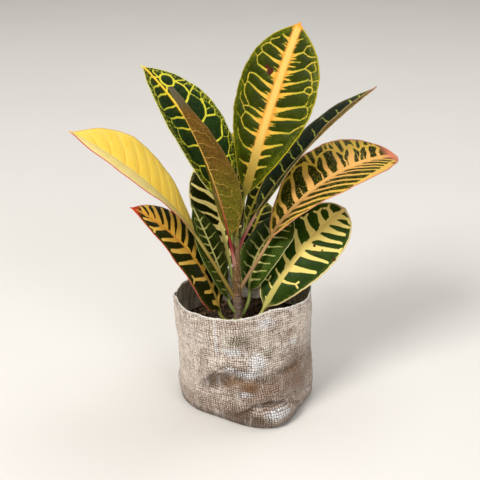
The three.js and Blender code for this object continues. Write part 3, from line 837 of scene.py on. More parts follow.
# How a leaf's side veins run, unless it says otherwise. Bow and sway bend them, thick and taper give their
# widths, and fork is the share of them that end in two arms. Arcs is the share of neighbours that are joined
# by a loop, with twigs from it to the margin, and teeth are the short spikes between two side veins.
VEIN_HABIT = dict(bow=0.35, sway=0.5, thick=(0.85, 1.15), taper=1.3, fork=0, arm=7, arcs=0, arc_width=0.8,
                  twigs=0, teeth=0, tooth_reach=(0.1, 0.3), tooth_width=1.6, quilting=QUILTING, extra=())


def smoothstep(value, low, high):
    share = np.clip((value - low) / (high - low), 0, 1)
    return share * share * (3 - 2 * share)


def midrib(leaf, places):
    """The midrib's centre line and its frame at distances from the middle of the stem, as in the solid."""
    length = leaf["stalk"] + leaf["blade"]
    distance = np.linspace(0, length, MIDRIB_STEPS + 1)
    on_stalk = np.minimum(distance / leaf["stalk"], 1)
    share = np.maximum((distance - leaf["stalk"]) / leaf["blade"], 0)
    azimuth, rise = (
        np.radians(joint + (base - joint) * on_stalk + (tip - base) * share)
        for joint, base, tip in (leaf["direction"], leaf["rise"]))
    along = np.stack([np.cos(rise) * np.cos(azimuth), np.cos(rise) * np.sin(azimuth), np.sin(rise)], -1)
    up = np.stack([-np.sin(rise) * np.cos(azimuth), -np.sin(rise) * np.sin(azimuth), np.cos(rise)], -1)
    roll = np.radians(leaf["roll"] + leaf["twist"] * share)[:, None]
    normal = up * np.cos(roll) + np.cross(along, up) * np.sin(roll)
    steps = (along[1:] + along[:-1]) * length / MIDRIB_STEPS / 2
    centre = stem_axis(np.float64(leaf["joint"])) + np.vstack([np.zeros(3), np.cumsum(steps, axis=0)])
    return [np.column_stack([np.interp(places, distance, line[:, i]) for i in range(3)])[:, None, :]
            for line in (centre, np.cross(along, normal), normal)]


def half_width(leaf, share):
    """Half the blade's width, which narrows to the tip over the length called point."""
    inside = np.clip(share, 1e-6, 1 - 1e-6)
    widest, fullness = leaf["widest"], leaf["fullness"]
    to_tip = (1 - inside) * leaf["blade"]
    width = (leaf["width"] / 2 * (inside / widest) ** (widest * fullness)
             * ((1 - inside) / (1 - widest)) ** ((1 - widest) * fullness))
    width = width + leaf.get("blunt", 0) * np.exp(-(to_tip / BLUNT_LENGTH) ** 2)
    return np.maximum(width * (1 - np.exp(-to_tip / leaf["point"])), TIP_WIDTH / 2)


def smooth_line(corners):
    """A curve through all its corners, in three stretches from each to the next."""
    padded = np.vstack([2 * corners[0] - corners[1], corners, 2 * corners[-1] - corners[-2]])
    points = [corners[0]]
    for a, b, c, d in zip(padded, padded[1:], padded[2:], padded[3:]):
        for t in (0.33, 0.67, 1.0):
            points.append(0.5 * (2 * b + (c - a) * t + (2 * a - 5 * b + 4 * c - d) * t ** 2
                                 + (3 * b - a - 3 * c + d) * t ** 3))
    return points


def side_veins(leaf, habit):
    """Short straight stretches of the side veins: two ends (across, along), two widths, two vein shares.
    A vein is given by its root and its end along the blade, the percentage of the half width that it reaches,
    and how thick it is among the others. An extra vein is given by its width, then for each corner such a
    percentage, negative on the left, and the place along the blade."""
    draw = np.random.default_rng(habit["seed"])
    first, last = habit["width"]
    stretches = []

    def run(points, widths, shares):
        for i in range(len(points) - 1):
            stretches.append((*points[i], *points[i + 1], widths[i], widths[i + 1], shares[i], shares[i + 1]))

    def reach_to(percent, along):
        return percent / 100 * half_width(leaf, along / leaf["blade"]), along

    def bar(side, root, end, percent, size=1):
        x1, y1 = reach_to(side * percent, end)
        share = np.linspace(0, 1, BAR_STEPS)
        x = x1 * share
        y = root + (y1 - root) * ((1 - habit["bow"]) * share + habit["bow"] * share ** 2)
        y = y + habit["sway"] * np.sin(share * SWAY_TURN + draw.uniform(0, 6)) * np.sin(np.pi * share)
        thick = draw.uniform(*habit["thick"]) * size
        widths = last * thick + (first - last) * thick * (1 - share) ** habit["taper"]
        run(list(zip(x, y)), widths, share)
        if draw.random() < habit["fork"]:
            arm = habit["arm"] * draw.uniform(*FORK_SPREAD)
            heading = math.atan2(y1 - y[5], abs(x1 - x[5]))
            for turn in FORK_TURNS:
                tip = (x1 + side * arm * math.cos(heading + turn), y1 + arm * math.sin(heading + turn))
                run([(x1, y1), tip], [last * thick, last * 0.6], [0.9, 1])
        return x1, y1

    def arc(side, x0, y0, x1, y1):
        width = habit["arc_width"]
        bow = side * abs(y1 - y0) * ARC_BOW
        turns = np.linspace(0, 1, ARC_STEPS)
        x = mix(x0, x1, turns) + bow * np.sin(np.pi * turns)
        run(list(zip(x, mix(y0, y1, turns))), [width] * ARC_STEPS, [1] * ARC_STEPS)
        out = 1.0 + 0.5 * draw.random()
        for _ in range(habit["twigs"]):
            at = draw.uniform(*TWIG_ROOTS)
            foot = (mix(x0, x1, at) + bow * math.sin(math.pi * at), mix(y0, y1, at))
            edge = reach_to(side * TWIG_REACH, foot[1] + draw.uniform(0, TWIG_RISE) * out)
            run([foot, edge], [width * 0.9, width * 0.6], [1, 1])

    for side, layout in ((-1, habit["left"]), (1, habit["right"])):
        ends = [bar(side, *vein) for vein in layout]
        for start, end in zip(ends, ends[1:]):
            if draw.random() < habit["arcs"]:
                arc(side, *start, *end)
        roots = [vein[0] for vein in layout]
        for before, after in zip(roots, roots[1:]):
            for _ in range(habit["teeth"]):
                root = draw.uniform(before + 2, after - 1)
                out = draw.uniform(*habit["tooth_reach"]) * abs(reach_to(side * 100, root)[0])
                rise = out * draw.uniform(*TOOTH_SLOPES)
                run([(0, root), (side * out, root + rise)], [habit["tooth_width"], 0.3], [0, 0.6])
    for size, *line in habit["extra"]:
        points = smooth_line(np.array([reach_to(*corner) for corner in zip(line[::2], line[1::2])]))
        run(points, [size] * len(points), [EXTRA_SHARE] * len(points))
    return stretches


def vein_fields(across, along, stretches):
    """Distance from the nearest side vein's edge, negative inside it, and the share along that vein."""
    nearest = np.full(across.shape, 30.0)
    share_there = np.zeros(across.shape)
    for x0, y0, x1, y1, w0, w1, s0, s1 in stretches:
        dx, dy = x1 - x0, y1 - y0
        share = np.clip(((across - x0) * dx + (along - y0) * dy) / (dx * dx + dy * dy + 1e-9), 0, 1)
        away = np.hypot(across - x0 - share * dx, along - y0 - share * dy) - mix(w0, w1, share) / 2
        share_there = np.where(away < nearest, mix(s0, s1, share), share_there)
        nearest = np.minimum(nearest, away)
    return nearest, share_there


def sheet_faces(rows, columns):
    """Quads of a closed sheet from the points of its upper and then its lower face, row by row."""
    under = rows * columns
    index = np.arange(under).reshape(rows, columns)
    quads = (index[:-1, :-1], index[:-1, 1:], index[1:, 1:], index[1:, :-1])
    a, b, c, d = (corners.ravel() for corners in quads)
    left, right = index[:, 0], index[:, -1]
    base, tip = index[0], index[-1]
    sides = [(left[1:], left[:-1]), (right[:-1], right[1:])]
    ends = [(base[1:], base[:-1]), (tip[:-1], tip[1:])]
    quads = [(a, b, c, d), (a + under, d + under, c + under, b + under)]
    quads += [(first, first + under, second + under, second) for first, second in sides]
    quads += [(first, second, second + under, first + under) for first, second in ends]
    return np.concatenate([np.stack(quad, -1) for quad in quads]).tolist()


def stalk_radius(places, stalk):
    """The stalk tapers towards the blade and flares where it joins the stem."""
    flare = STALK_FLARE[0] * np.exp(-((places - STEM_SEAT) / STALK_FLARE[1]) ** 2)
    return mix(*STALK_RADIUS, np.clip(places / stalk, 0, 1)) * (1 + flare)


def brown_spots(leaf, across, along):
    """Soft round spots: the share of the half width, the distance along the blade, and the radius."""
    spots = np.zeros(along.shape)
    for side_share, place, radius in leaf.get("spots", ()):
        aside = across - side_share * half_width(leaf, place / leaf["blade"])
        spots = np.maximum(spots, np.exp(-(aside ** 2 + (along - place) ** 2) / radius ** 2))
    return spots


def leaf_mesh(name, leaf, habit):
    """The leaf as in the solid, fine enough for its veins, quilted between them and thin at its margin."""
    stalk, blade = leaf["stalk"], leaf["blade"]
    draw = np.random.default_rng(habit["seed"] + 100)
    row_step, column_step = leaf.get("grid", GRID)
    shares = np.linspace(0, 1, round(blade / row_step))
    places = np.concatenate([np.arange(STEM_SEAT, stalk - 0.5, STALK_STEP), stalk + blade * shares ** 0.97])
    side_count = max(round(leaf["width"] / 2 / column_step), 6)
    u = np.linspace(-1, 1, 2 * side_count + 1)[None, :]
    side, outward = np.sign(u), np.abs(u)
    centre, across_axis, normal = midrib(leaf, places)
    share = np.clip((places - stalk) / blade, 0, 1)[:, None]
    half = half_width(leaf, share)
    phase = draw.uniform(0, 6, 4)
    (turns, size), (small_turns, small_size) = EDGE_RIPPLES
    ripple = 1 + size * np.sin(share * turns + phase[0] + side)
    ripple = ripple + small_size * np.sin(share * small_turns + phase[1] * side)
    reach = outward * half * ripple
    across = side * reach
    along = (places - stalk)[:, None] + 0 * u
    vein, vein_share = vein_fields(across, along, side_veins(leaf, habit))
    slope = np.gradient(half[:, 0], places)[:, None]
    margin = (half * ripple - reach) / np.sqrt(1 + slope ** 2)
    fold_left, fold_right = leaf["fold"]
    fold = np.radians(np.where(side < 0, fold_left, fold_right) + HALF_ARCH * (outward - 1) / 2)
    level = np.minimum(half / (leaf["width"] / 2), 1)
    wave_at = 2 * np.pi * WAVES_PER_BLADE * share + np.where(side > 0, RIGHT_WAVES_LATER, 0)
    wave = MARGIN_WAVE * outward ** 2 * np.sin(wave_at) * level
    curl = np.sin(share * blade / EDGE_CURL[1] + phase[2] + 2 * side)
    wave = wave + EDGE_CURL[0] * outward ** 3 * level * curl
    on_blade = smoothstep(share, 0.0, STALK_MERGES_OVER)
    from_vein, from_margin = CUSHION_SPREAD
    cushion = smoothstep(np.minimum(vein, reach - 2), 0, from_vein) * level
    cushion = cushion * smoothstep(margin, 0, from_margin)
    bulge = reach * np.sin(fold) + wave + habit["quilting"] * cushion * on_blade
    keel = np.minimum(mix(*KEEL_WIDTH, share), 0.3 * half)
    rib = np.exp(-(reach / (keel * 0.8)) ** 2)
    ridge = np.exp(-np.maximum(vein, 0) ** 2) * on_blade * smoothstep(margin, 0, 3)
    thick = mix(*BLADE_THICKNESS, outward ** 2) / 2
    turn = np.radians(STALK_HALF_TURN) * u
    round_up = stalk_radius(places, stalk)[:, None]
    aside = mix(round_up * np.sin(turn), side * reach * np.cos(fold), on_blade)[..., None]
    layers = []
    keel_depth = mix(*KEEL_DEPTH, share)
    for face, rib_height, ridge_height in zip((1, -1), (MIDRIB_RISE, keel_depth), VEIN_RELIEF):
        height = thick + rib * rib_height + ridge * ridge_height
        up = mix(face * round_up * np.cos(turn), bulge + face * height, on_blade)[..., None]
        layers.append((centre + across_axis * aside + normal * up).reshape(-1, 3))
    fields = {"across": across, "along": along, "margin": margin, "vein": vein, "vein_share": vein_share,
              "blemish": brown_spots(leaf, across, along)}
    fields = {label: np.tile(field.ravel(), 2) for label, field in fields.items()}
    fields["upper"] = np.repeat([1.0, 0.0], along.size)
    return plain_mesh(name, np.vstack(layers), sheet_faces(*along.shape), fields)


LEAF_TONES = ("Ground", "Ground Light", "Vein", "Vein End", "Rib", "Rib Base", "Margin", "Tip", "Stalk",
              "Stalk Low", "Under", "Under Far", "Under Rib")
LEAF_INPUTS = {
    **{label: paint("808040") for label in (*LEAF_TONES, "Left Tint")}, "Flank": paint("e3a035"),
    "Left Margin": paint("d04050"), "Under Vein": 0.45, "Left Share": 0.0, "Blade": 150.0, "Rib Width": 3.4,
    "Rib Tip Width": 2.0, "Margin Width": 0.9, "Net Spacing": 4.0, "Net Width": 0.5, "Net Reach": 9.0,
    "Net Share": 0.3, "Tissue": 0.3, "Zone": 0.3, "Ragged": 1.4, "Flecks": 0.0, "Tip Length": 7.0,
    "Base Length": 7.0, "Core": 50.0, "Glow": 0.01, "Left Margin Width": -1.0, "Seed": 0.0,
}


def fine_net(nodes, given, place, mottle, zone):
    """The net of fine veins near the margin, the mesh of tissue between them, and flecks."""
    spacing = given["Net Spacing"]
    warped = nodes.shifted(place, nodes.noise(place, 2.0, 0.5, 0.25, "Color"), 3.0)
    thread = given["Net Width"] / spacing * 0.5
    net = nodes.step(nodes.cells(warped, 1.0 / spacing), thread + 0.3 / spacing, thread)
    net = net * zone * given["Net Share"] * nodes.step(mottle, 0.35, 0.6, 0.3, 1.0)
    tissue = nodes.step(nodes.cells(warped, 0.55), 0.16, 0.03)
    flecks = nodes.step(nodes.cells(place, 0.75, "F1"), 0.36, 0.2)
    return net, tissue, flecks * nodes.step(mottle, 0.44, 0.58) * given["Flecks"]


def midrib_colour(nodes, given, share, away, flank, fine):
    """The midrib, from its base to its tip, with orange flanks, a reddish middle line and a green bloom."""
    colour = nodes.wash(given["Rib Base"], given["Rib"], share, 0.05, 0.5)
    colour = nodes.mix(flank, colour, given["Flank"])
    colour = nodes.wash(colour, given["Tip"], away, 0.8, 0.2, 0.22)
    return nodes.wash(colour, given["Ground Light"], fine, 0.5, 0.8, 0.25)


def leaf_group():
    """The colours of a croton leaf from the mesh's fields: ground, net, veins, midrib, margin, tip, stalk."""
    nodes, given = shader_group("croton_leaf", LEAF_INPUTS, "Colour", "Relief", "Roughness")
    across, along, margin, vein, vein_share, upper, blemish = (
        nodes.field(name) for name in ("across", "along", "margin", "vein", "vein_share", "upper", "blemish"))
    place = nodes.vector(across, along, given["Seed"] * 37.0)
    fine = nodes.noise(place, 3.0, 0.65, 1.3)
    mottle = nodes.noise(place, 4.0, 0.65, 0.3)
    broad = nodes.noise(place, 2.0, 0.5, 0.06)
    wobble = (mottle - 0.5) * 2.0
    frayed = (nodes.noise(place, 3.0, 0.7, 0.75) - 0.5 + wobble * 0.4) * given["Ragged"]
    share = along / given["Blade"]
    away = nodes.math("ABSOLUTE", across)
    rib_width = given["Rib Width"] + (given["Rib Tip Width"] - given["Rib Width"]) * share
    outside_rib = away + frayed - rib_width * 0.5
    outside_vein = vein + frayed
    rib = nodes.step(outside_rib, 0.4, -0.3)
    lateral = nodes.step(outside_vein, 0.35, -0.25)
    zone = nodes.step(margin + wobble * 3.0, given["Net Reach"], given["Net Reach"] * 0.4)
    net, tissue, flecks = fine_net(nodes, given, place, mottle, zone)

    # The upper face.
    light = nodes.step(outside_vein, 1.3, 0.0, 0.0, 0.6) + nodes.step(broad, 0.4, 0.7, 0.0, 0.3)
    light = light + zone * given["Zone"] + tissue * given["Tissue"] + nodes.step(fine, 0.5, 0.75, 0.0, 0.45)
    ground = nodes.mix(nodes.math("MINIMUM", light, 1.0), given["Ground"], given["Ground Light"])
    pale = nodes.wash(given["Vein"], given["Vein End"], vein_share, 0.35, 1.0)
    orange = nodes.step(share, 0.22, 0.4, 0.0, 0.85)
    pale = nodes.mix(nodes.step(outside_rib, given["Glow"], 0.0) * orange, pale, given["Flank"])
    near = nodes.step(outside_rib, given["Glow"] * 0.35, 0.0, 0.0, 0.6)
    ground = nodes.mix(near * orange, ground, given["Flank"])
    colour = nodes.mix(flecks, ground, given["Vein End"])
    colour = nodes.mix(net, colour, nodes.mix(0.6, given["Ground Light"], given["Vein End"]))
    colour = nodes.mix(lateral, colour, pale)
    flank = nodes.step(away + wobble * 0.5, given["Core"], given["Core"] + 3.0) * orange
    colour = nodes.mix(rib, colour, midrib_colour(nodes, given, share, away, flank, fine))
    width = given["Margin Width"]
    edge = nodes.step(margin + wobble * 0.5, width + 0.3, width - 0.3) * nodes.step(share, 0.0, 0.08)
    colour = nodes.mix(edge, colour, given["Margin"])
    tip_start = given["Blade"] - given["Tip Length"]
    tip = nodes.step(along + wobble * 4.0, tip_start, tip_start + given["Tip Length"] * 0.7)
    colour = nodes.mix(tip, colour, given["Tip"])
    colour = nodes.mix(nodes.step(fine, 0.2, 0.8, -0.1, 0.16), colour, given["Ground"])

    # The underside.
    bare = nodes.wash(given["Under"], given["Under Far"], share + wobble * 0.12, 0.3, 0.6)
    bare = nodes.wash(bare, given["Ground Light"], mottle, 0.4, 0.62, 0.55)
    bare = nodes.wash(bare, given["Ground"], broad, 0.55, 0.35, 0.6)
    bare = nodes.mix(tissue * 0.22, bare, given["Under Rib"])
    bare = nodes.mix(lateral * given["Under Vein"], bare, given["Under Rib"])
    bare = nodes.mix(rib, bare, nodes.wash(given["Rib Base"], given["Under Rib"], share, 0.05, 0.55))
    bare = nodes.mix(tip * 0.9, bare, given["Tip"])
    bare = nodes.mix(edge * 0.7, bare, given["Margin"])
    colour = nodes.mix(upper, bare, colour)

    # What is over both faces: a tint on the left half, its margin, blemishes, and the stalk's own colour.
    on_left = nodes.step(across, -0.6, -2.0)
    colour = nodes.mix(on_left * given["Left Share"], colour, given["Left Tint"])
    width = given["Left Margin Width"]
    colour = nodes.mix(nodes.step(margin, width + 0.3, width - 0.3) * on_left, colour, given["Left Margin"])
    colour = nodes.wash(colour, "4d2314", blemish + wobble * 0.45, 0.35, 0.6)
    stalk = nodes.wash(given["Stalk"], given["Stalk Low"], along, -5.0, -30.0)
    stalk = nodes.wash(stalk, given["Under"], fine, 0.5, 0.8, 0.35)
    colour = nodes.mix(nodes.step(along, given["Base Length"], -2.0), colour, stalk)

    dull = nodes.step(fine, 0.3, 0.8, 0.0, 0.12) + nodes.step(mottle, 0.3, 0.8, 0.0, 0.1)
    relief = lateral * 0.5 + net * 0.4 - tissue * 0.35 + fine * 0.5
    nodes.add("NodeGroupOutput", {
        "Colour": colour, "Relief": relief, "Roughness": nodes.step(upper, 0.0, 1.0, 0.5, 0.27) + dull})
    return nodes.tree


leaf_colours = leaf_group()


def leaf_piece(node, slot, tones, look, leaf, veins):
    """Builds one leaf, its material and its place in the plant. Tones are the colours of LEAF_TONES in turn,
    and look holds the leaf's other inputs where they differ from the first values. Leaf holds the solid's
    sizes and angles, direction and rise being those at the stem, at the blade's base and at its tip, and
    fold those of the left and right halves. Veins holds what differs from VEIN_HABIT."""
    habit = {**VEIN_HABIT, **veins}
    material, nodes, shader = new_material(node + "_skin", leaf.get("gloss", 0.08))
    look = {**dict(zip(LEAF_TONES, tones.split())), **look}
    look = {label: paint(value) if isinstance(value, str) else value for label, value in look.items()}
    look.update({"Blade": leaf["blade"], "Seed": habit["seed"]})
    colour, relief, roughness = nodes.group(leaf_colours, look)
    wire(nodes, shader, colour, roughness, relief, 0.25, 0.7)
    finish_piece(leaf_mesh(node.replace("_leaf", "_blade"), leaf, habit), material, slot, node)


leaf_piece(
    "crown_leaf", "olive_leaf",
    "242c00 4c5804 ecbc48 b8ae34 f0ca6c c4a444 b0a020 ee9a2c 8f8f3a 7c7f34 7c8c3c 7c8c3c c9b45c",
    look={"Rib Width": 11.5, "Rib Tip Width": 8.5, "Flank": "e8a03e", "Core": 1.8, "Glow": 7.0,
        "Ragged": 1.7, "Margin Width": 1.1, "Net Spacing": 5.5, "Net Width": 0.45, "Net Share": 0.35,
        "Zone": 0.4, "Tip Length": 10.0, "Base Length": 28.0},
    leaf=dict(
        joint=214, stalk=40, blade=207, width=100, widest=0.61, fullness=1.9, point=8,
        direction=(60, 46, 24), rise=(68, 69, 68), roll=10, twist=20, fold=(0, -3),
        spots=[(-0.3, 146, 5), (-0.42, 150, 3)]),
    veins=dict(
        seed=1, width=(7.0, 1.5), taper=2.2, bow=0.2, teeth=3, tooth_width=2.2, tooth_reach=(0.2, 0.34),
        left=[(24, 29, 50), (39, 44, 78), (56, 60, 57), (74, 79, 60), (89, 96, 62), (98, 103, 55),
            (116, 128, 78), (129, 138, 65), (143, 149, 70), (157, 163, 75), (168, 174, 65), (183, 188, 60),
            (194, 198, 50)],
        right=[(24, 28, 50), (38, 45, 65), (51, 58, 58), (62, 74, 73), (81, 88, 73), (97, 106, 83),
            (105, 122, 80), (122, 137, 68), (133, 150, 70), (147, 161, 58), (161, 166, 43, 0.5),
            (167, 177, 50), (184, 191, 55, 0.6)],
        extra=[(0.8, -57, 60, -75, 67, -82, 76), (1.0, -60, 79, -72, 87, -62, 96),
            (0.9, -62, 96, -72, 101, -55, 103), (0.9, -70, 101, -85, 108, -87, 116),
            (1.2, -55, 104, -76, 114, -80, 121, -78, 128), (1.2, -65, 138, -80, 137, -78, 128),
            (1.1, -70, 149, -80, 156, -75, 163), (1.0, -75, 163, -88, 168, -80, 174, -65, 174),
            (0.9, -65, 174, -80, 178, -60, 184), (0.7, -80, 121, -95, 128), (0.7, -80, 156, -96, 160),
            (0.6, -72, 87, -90, 93), (1.0, 73, 88, 86, 97, 97, 102),
            (1.0, 83, 106, 93, 113, 88, 121, 80, 122), (1.0, 80, 122, 84, 129, 83, 136),
            (0.7, 88, 121, 97, 128), (1.3, 68, 137, 72, 142, 84, 144, 88, 140, 83, 136, 68, 137),
            (1.0, 84, 144, 82, 150, 70, 151), (0.8, 88, 140, 98, 142), (0.8, 82, 150, 97, 154),
            (1.1, 58, 161, 74, 159, 82, 151), (1.2, 58, 161, 76, 169, 92, 172),
            (0.8, 74, 159, 90, 163, 86, 170), (1.1, 50, 177, 73, 175, 93, 177),
            (0.9, 50, 177, 65, 184, 90, 187)]))


# The upper left leaf: nearly black green, with a lemon midrib, rungs on its narrow left half and wide
# open loops on its right half, one of them a closed ring near the tip. Fine flecks run along its pale
# margin.

leaf_piece(
    "upper_left_leaf", "dark_leaf",
    "0a1e08 26420e e8da3c c8c238 fbcc3c c8c450 d6d284 e6d84c 9fae52 7c8f42 5f7640 5f7640 b8bd5c",
    look={"Rib Width": 5.6, "Rib Tip Width": 3.0, "Net Spacing": 3.8, "Net Width": 0.4, "Net Share": 0.8,
        "Flecks": 0.15, "Zone": 0.15},
    leaf=dict(
        joint=204, stalk=32, blade=205, width=87, widest=0.54, fullness=1.85, point=10,
        direction=(117, 128, 152), rise=(65, 63, 36), roll=1, twist=-7, fold=(17, 17)),
    veins=dict(
        seed=2, width=(3.0, 1.7), arcs=0.75, arc_width=1.0, twigs=2, sway=0.8,
        left=[(20, 22, 60), (40, 42, 62), (62, 63, 65), (87, 88, 68), (108, 112, 66), (124, 125, 70),
            (141, 137, 80), (159, 155, 76), (172, 168, 70), (185, 181, 60)],
        right=[(22, 26, 55), (42, 46, 60), (60, 65, 70), (80, 87, 70), (106, 115, 55), (134, 146, 60)],
        extra=[(1.7, 70, 87, 82, 98), (1.9, 55, 115, 80, 112), (1.8, 55, 115, 68, 124, 75, 134),
            (1.6, 60, 146, 98, 152), (1.9, 60, 146, 68, 157, 60, 167), (1.3, 62, 167, 95, 162),
            (0.9, 82, 98, 90, 103, 98, 104), (0.8, 80, 112, 90, 108, 90, 103),
            (0.9, 80, 112, 90, 118, 87, 126, 98, 129), (0.8, 75, 134, 87, 126),
            (0.9, 75, 134, 88, 140, 98, 141), (0.8, 88, 140, 84, 149), (0.9, 68, 157, 84, 158, 96, 156),
            (0.8, 70, 87, 86, 84, 97, 90), (0.8, 86, 84, 82, 74, 96, 78), (0.9, 82, 74, 70, 65, 90, 64),
            (1.0, 55, 181, 80, 184), (1.1, 28, 180, 35, 189, 70, 191), (0.8, -66, 112, -85, 116, -97, 120),
            (0.8, -70, 125, -86, 130, -97, 132), (0.8, -65, 63, -84, 70, -96, 74),
            (0.8, -68, 88, -85, 95, -97, 97),
            (2.2, 20, 166, 15, 173, 28, 179, 55, 181, 75, 176, 62, 168, 38, 163, 20, 166),
            (1.8, 0, 184, 28, 180), (2.0, 0, 160, 20, 166)]))


# The folded front leaf: it stands steep and shows its khaki underside, brown and then grey towards the
# tip, with thin pale side veins and a midrib that turns from orange to deep red at the stalk.

leaf_piece(
    "folded_front_leaf", "khaki_leaf",
    "302604 3e4400 b8a848 a8a044 c8602c 93282c 927040 605c4a 8c2c32 b98478 484e00 5c3410 dab058",
    look={"Under Vein": 0.5, "Rib Width": 2.6, "Rib Tip Width": 1.0, "Margin Width": 0.4, "Tissue": 0.5,
        "Tip Length": 34.0, "Net Spacing": 5.0, "Net Reach": 8.0},
    leaf=dict(
        joint=170, stalk=44, blade=198, width=70, widest=0.52, fullness=1.6, point=3,
        direction=(235, 233, 189), rise=(71, 76, 61), roll=7, twist=7, fold=(10, 30), blunt=9),
    veins=dict(
        seed=3, width=(1.4, 0.6), arcs=0.5, arc_width=0.5, twigs=1, sway=1.6, thick=(0.5, 1.5),
        left=[(16, 14, 70), (30, 27, 80), (46, 43, 70), (62, 60, 55), (79, 72, 50), (95, 90, 75),
            (111, 108, 75), (128, 125, 70), (144, 142, 60), (160, 159, 60)],
        right=[(12, 21, 80), (24, 38, 90), (45, 52, 70), (57, 70, 95), (76, 82, 80), (89, 101, 90),
            (105, 111, 80), (119, 131, 90), (141, 150, 80), (160, 168, 80)]))


# The yellow leaf: the oldest one, at the far left, soft yellow with faint golden stripes, olive at its
# base, and red along the margin that faces the front.

leaf_piece(
    "yellow_leaf", "yellow_leaf",
    "f2cb46 f5d768 ebbe46 f0d066 e2d28c b49c5a dfa93c e6b04c a8984e 98803e cdb04a d8bc56 f0e2a8",
    look={"Under Vein": 0.7, "Rib Width": 4.4, "Net Share": 0.1, "Tissue": 0.5, "Tip Length": 5.0,
        "Base Length": 62.0, "Left Tint": "ffec9c", "Left Share": 0.85, "Left Margin": "cc3648",
        "Left Margin Width": 1.3, "Net Spacing": 5.0, "Net Reach": 8.0},
    leaf=dict(
        joint=127, stalk=100, blade=192, width=93, widest=0.59, fullness=1.9, point=12,
        direction=(203, 204, 179), rise=(64, 60, 29), roll=-14, twist=11, fold=(11, 21)),
    veins=dict(
        seed=4, width=(3.6, 1.4), quilting=0.3,
        left=[(root, root + 14, 85) for root in (22, 38, 54, 70, 87, 104, 121, 138, 155)],
        right=[(root, root + 20, 85) for root in (16, 29, 44, 58, 73, 89, 106, 124, 142, 158)]))


# The lower left leaf: black green with orange-yellow bars, some of them forked, a coral margin and a
# drawn-out red tip.

leaf_piece(
    "lower_left_leaf", "dark_leaf",
    "141700 2c3504 fcc450 fccf64 fbb84a bda24a d46650 d4482c a8a04c 8f9a48 5c6a3c 6c5c3c c0a050",
    look={"Rib Width": 4.8, "Rib Tip Width": 4.0, "Margin Width": 0.8, "Net Spacing": 4.5, "Net Reach": 5.0,
        "Tip Length": 15.0},
    leaf=dict(
        joint=109, stalk=32, blade=171, width=88, widest=0.49, fullness=1.1, point=12,
        direction=(232, 179, 192), rise=(-24, 78, 30), roll=-20, twist=11, fold=(2, 5)),
    veins=dict(
        seed=5, width=(7.2, 4.2), fork=0.35, arm=5, thick=(0.75, 1.25),
        left=[(12, 20, 40), (30, 40, 60), (47, 65, 75), (71, 95, 90), (87, 111, 80), (105, 127, 80),
            (126, 140, 68), (139, 153, 55)],
        right=[(14, 19, 35), (33, 38, 45), (57, 63, 50), (77, 83, 55), (92, 99, 70), (104, 113, 90),
            (113, 123, 95), (123, 133, 90), (133, 143, 85), (142, 151, 75), (151, 158, 70)]))


# The middle left leaf: a nearly flat blade behind the folded one, black green with cream bars that widen
# towards the midrib, and a cream margin.

leaf_piece(
    "middle_left_leaf", "dark_leaf",
    "171800 2a3204 ffe890 fce696 f4dc84 b0b05e e6d894 d8c484 a8b864 86994c 5c7044 5c7044 c0bd74",
    look={"Rib Width": 5.0, "Rib Tip Width": 2.5, "Margin Width": 0.8, "Net Reach": 5.0, "Tip Length": 6.0},
    leaf=dict(
        joint=136, stalk=34, blade=139, width=66, widest=0.61, fullness=1.6, point=4,
        direction=(112, 112, 105), rise=(48, 56, 49), roll=0, twist=-5, fold=(8, 10)),
    veins=dict(
        seed=6, width=(6.6, 2.8), taper=1.0, fork=0.5, arm=5, bow=0.1, sway=1.4, thick=(0.5, 1.25),
        left=[(16, 28, 80), (34, 48, 88), (48, 64, 92), (60, 77, 94), (72, 91, 94), (86, 107, 90),
            (104, 122, 90), (117, 130, 80)],
        right=[(18, 28, 80), (36, 48, 85), (54, 68, 85), (72, 86, 85), (90, 103, 85), (107, 118, 80),
            (120, 128, 70)]))


# The small green leaf in front at the left: a narrow, mid green blade on a short stalk, with a thin pale
# herringbone of veins and hardly any margin.

leaf_piece(
    "small_green_leaf", "green_leaf",
    "101700 3a460a ccc874 a2ac60 dcd888 98a05a 8a9a58 9aa05a 9aa45c 7f9548 5c7c44 5c7c44 a8b868",
    look={"Ragged": 0.7, "Margin Width": 0.4, "Net Width": 0.3, "Net Reach": 20.0, "Net Share": 0.25,
        "Tip Length": 4.0},
    leaf=dict(
        joint=114, stalk=22, blade=120, width=48, widest=0.5, fullness=1.65, point=5,
        direction=(222, 164, 152), rise=(40, 76, 60), roll=1, twist=-11, fold=(0, 0)),
    veins=dict(
        seed=7, width=(1.8, 0.9), arcs=0.25, arc_width=0.5, sway=0.5,
        left=[(14, 20, 75), (26, 33, 78), (38, 45, 78), (50, 57, 75), (61, 68, 60), (71, 78, 60),
            (80, 88, 55), (90, 98, 55), (101, 107, 50)],
        right=[(16, 20, 80), (29, 32, 80), (41, 43, 82), (52, 55, 85), (64, 67, 85), (78, 80, 85),
            (90, 92, 80), (101, 103, 75)]))


# The narrow leaf at the upper right: glossy blue green and half folded, with a few short pale veins. It
# ends in a thin reddish point.

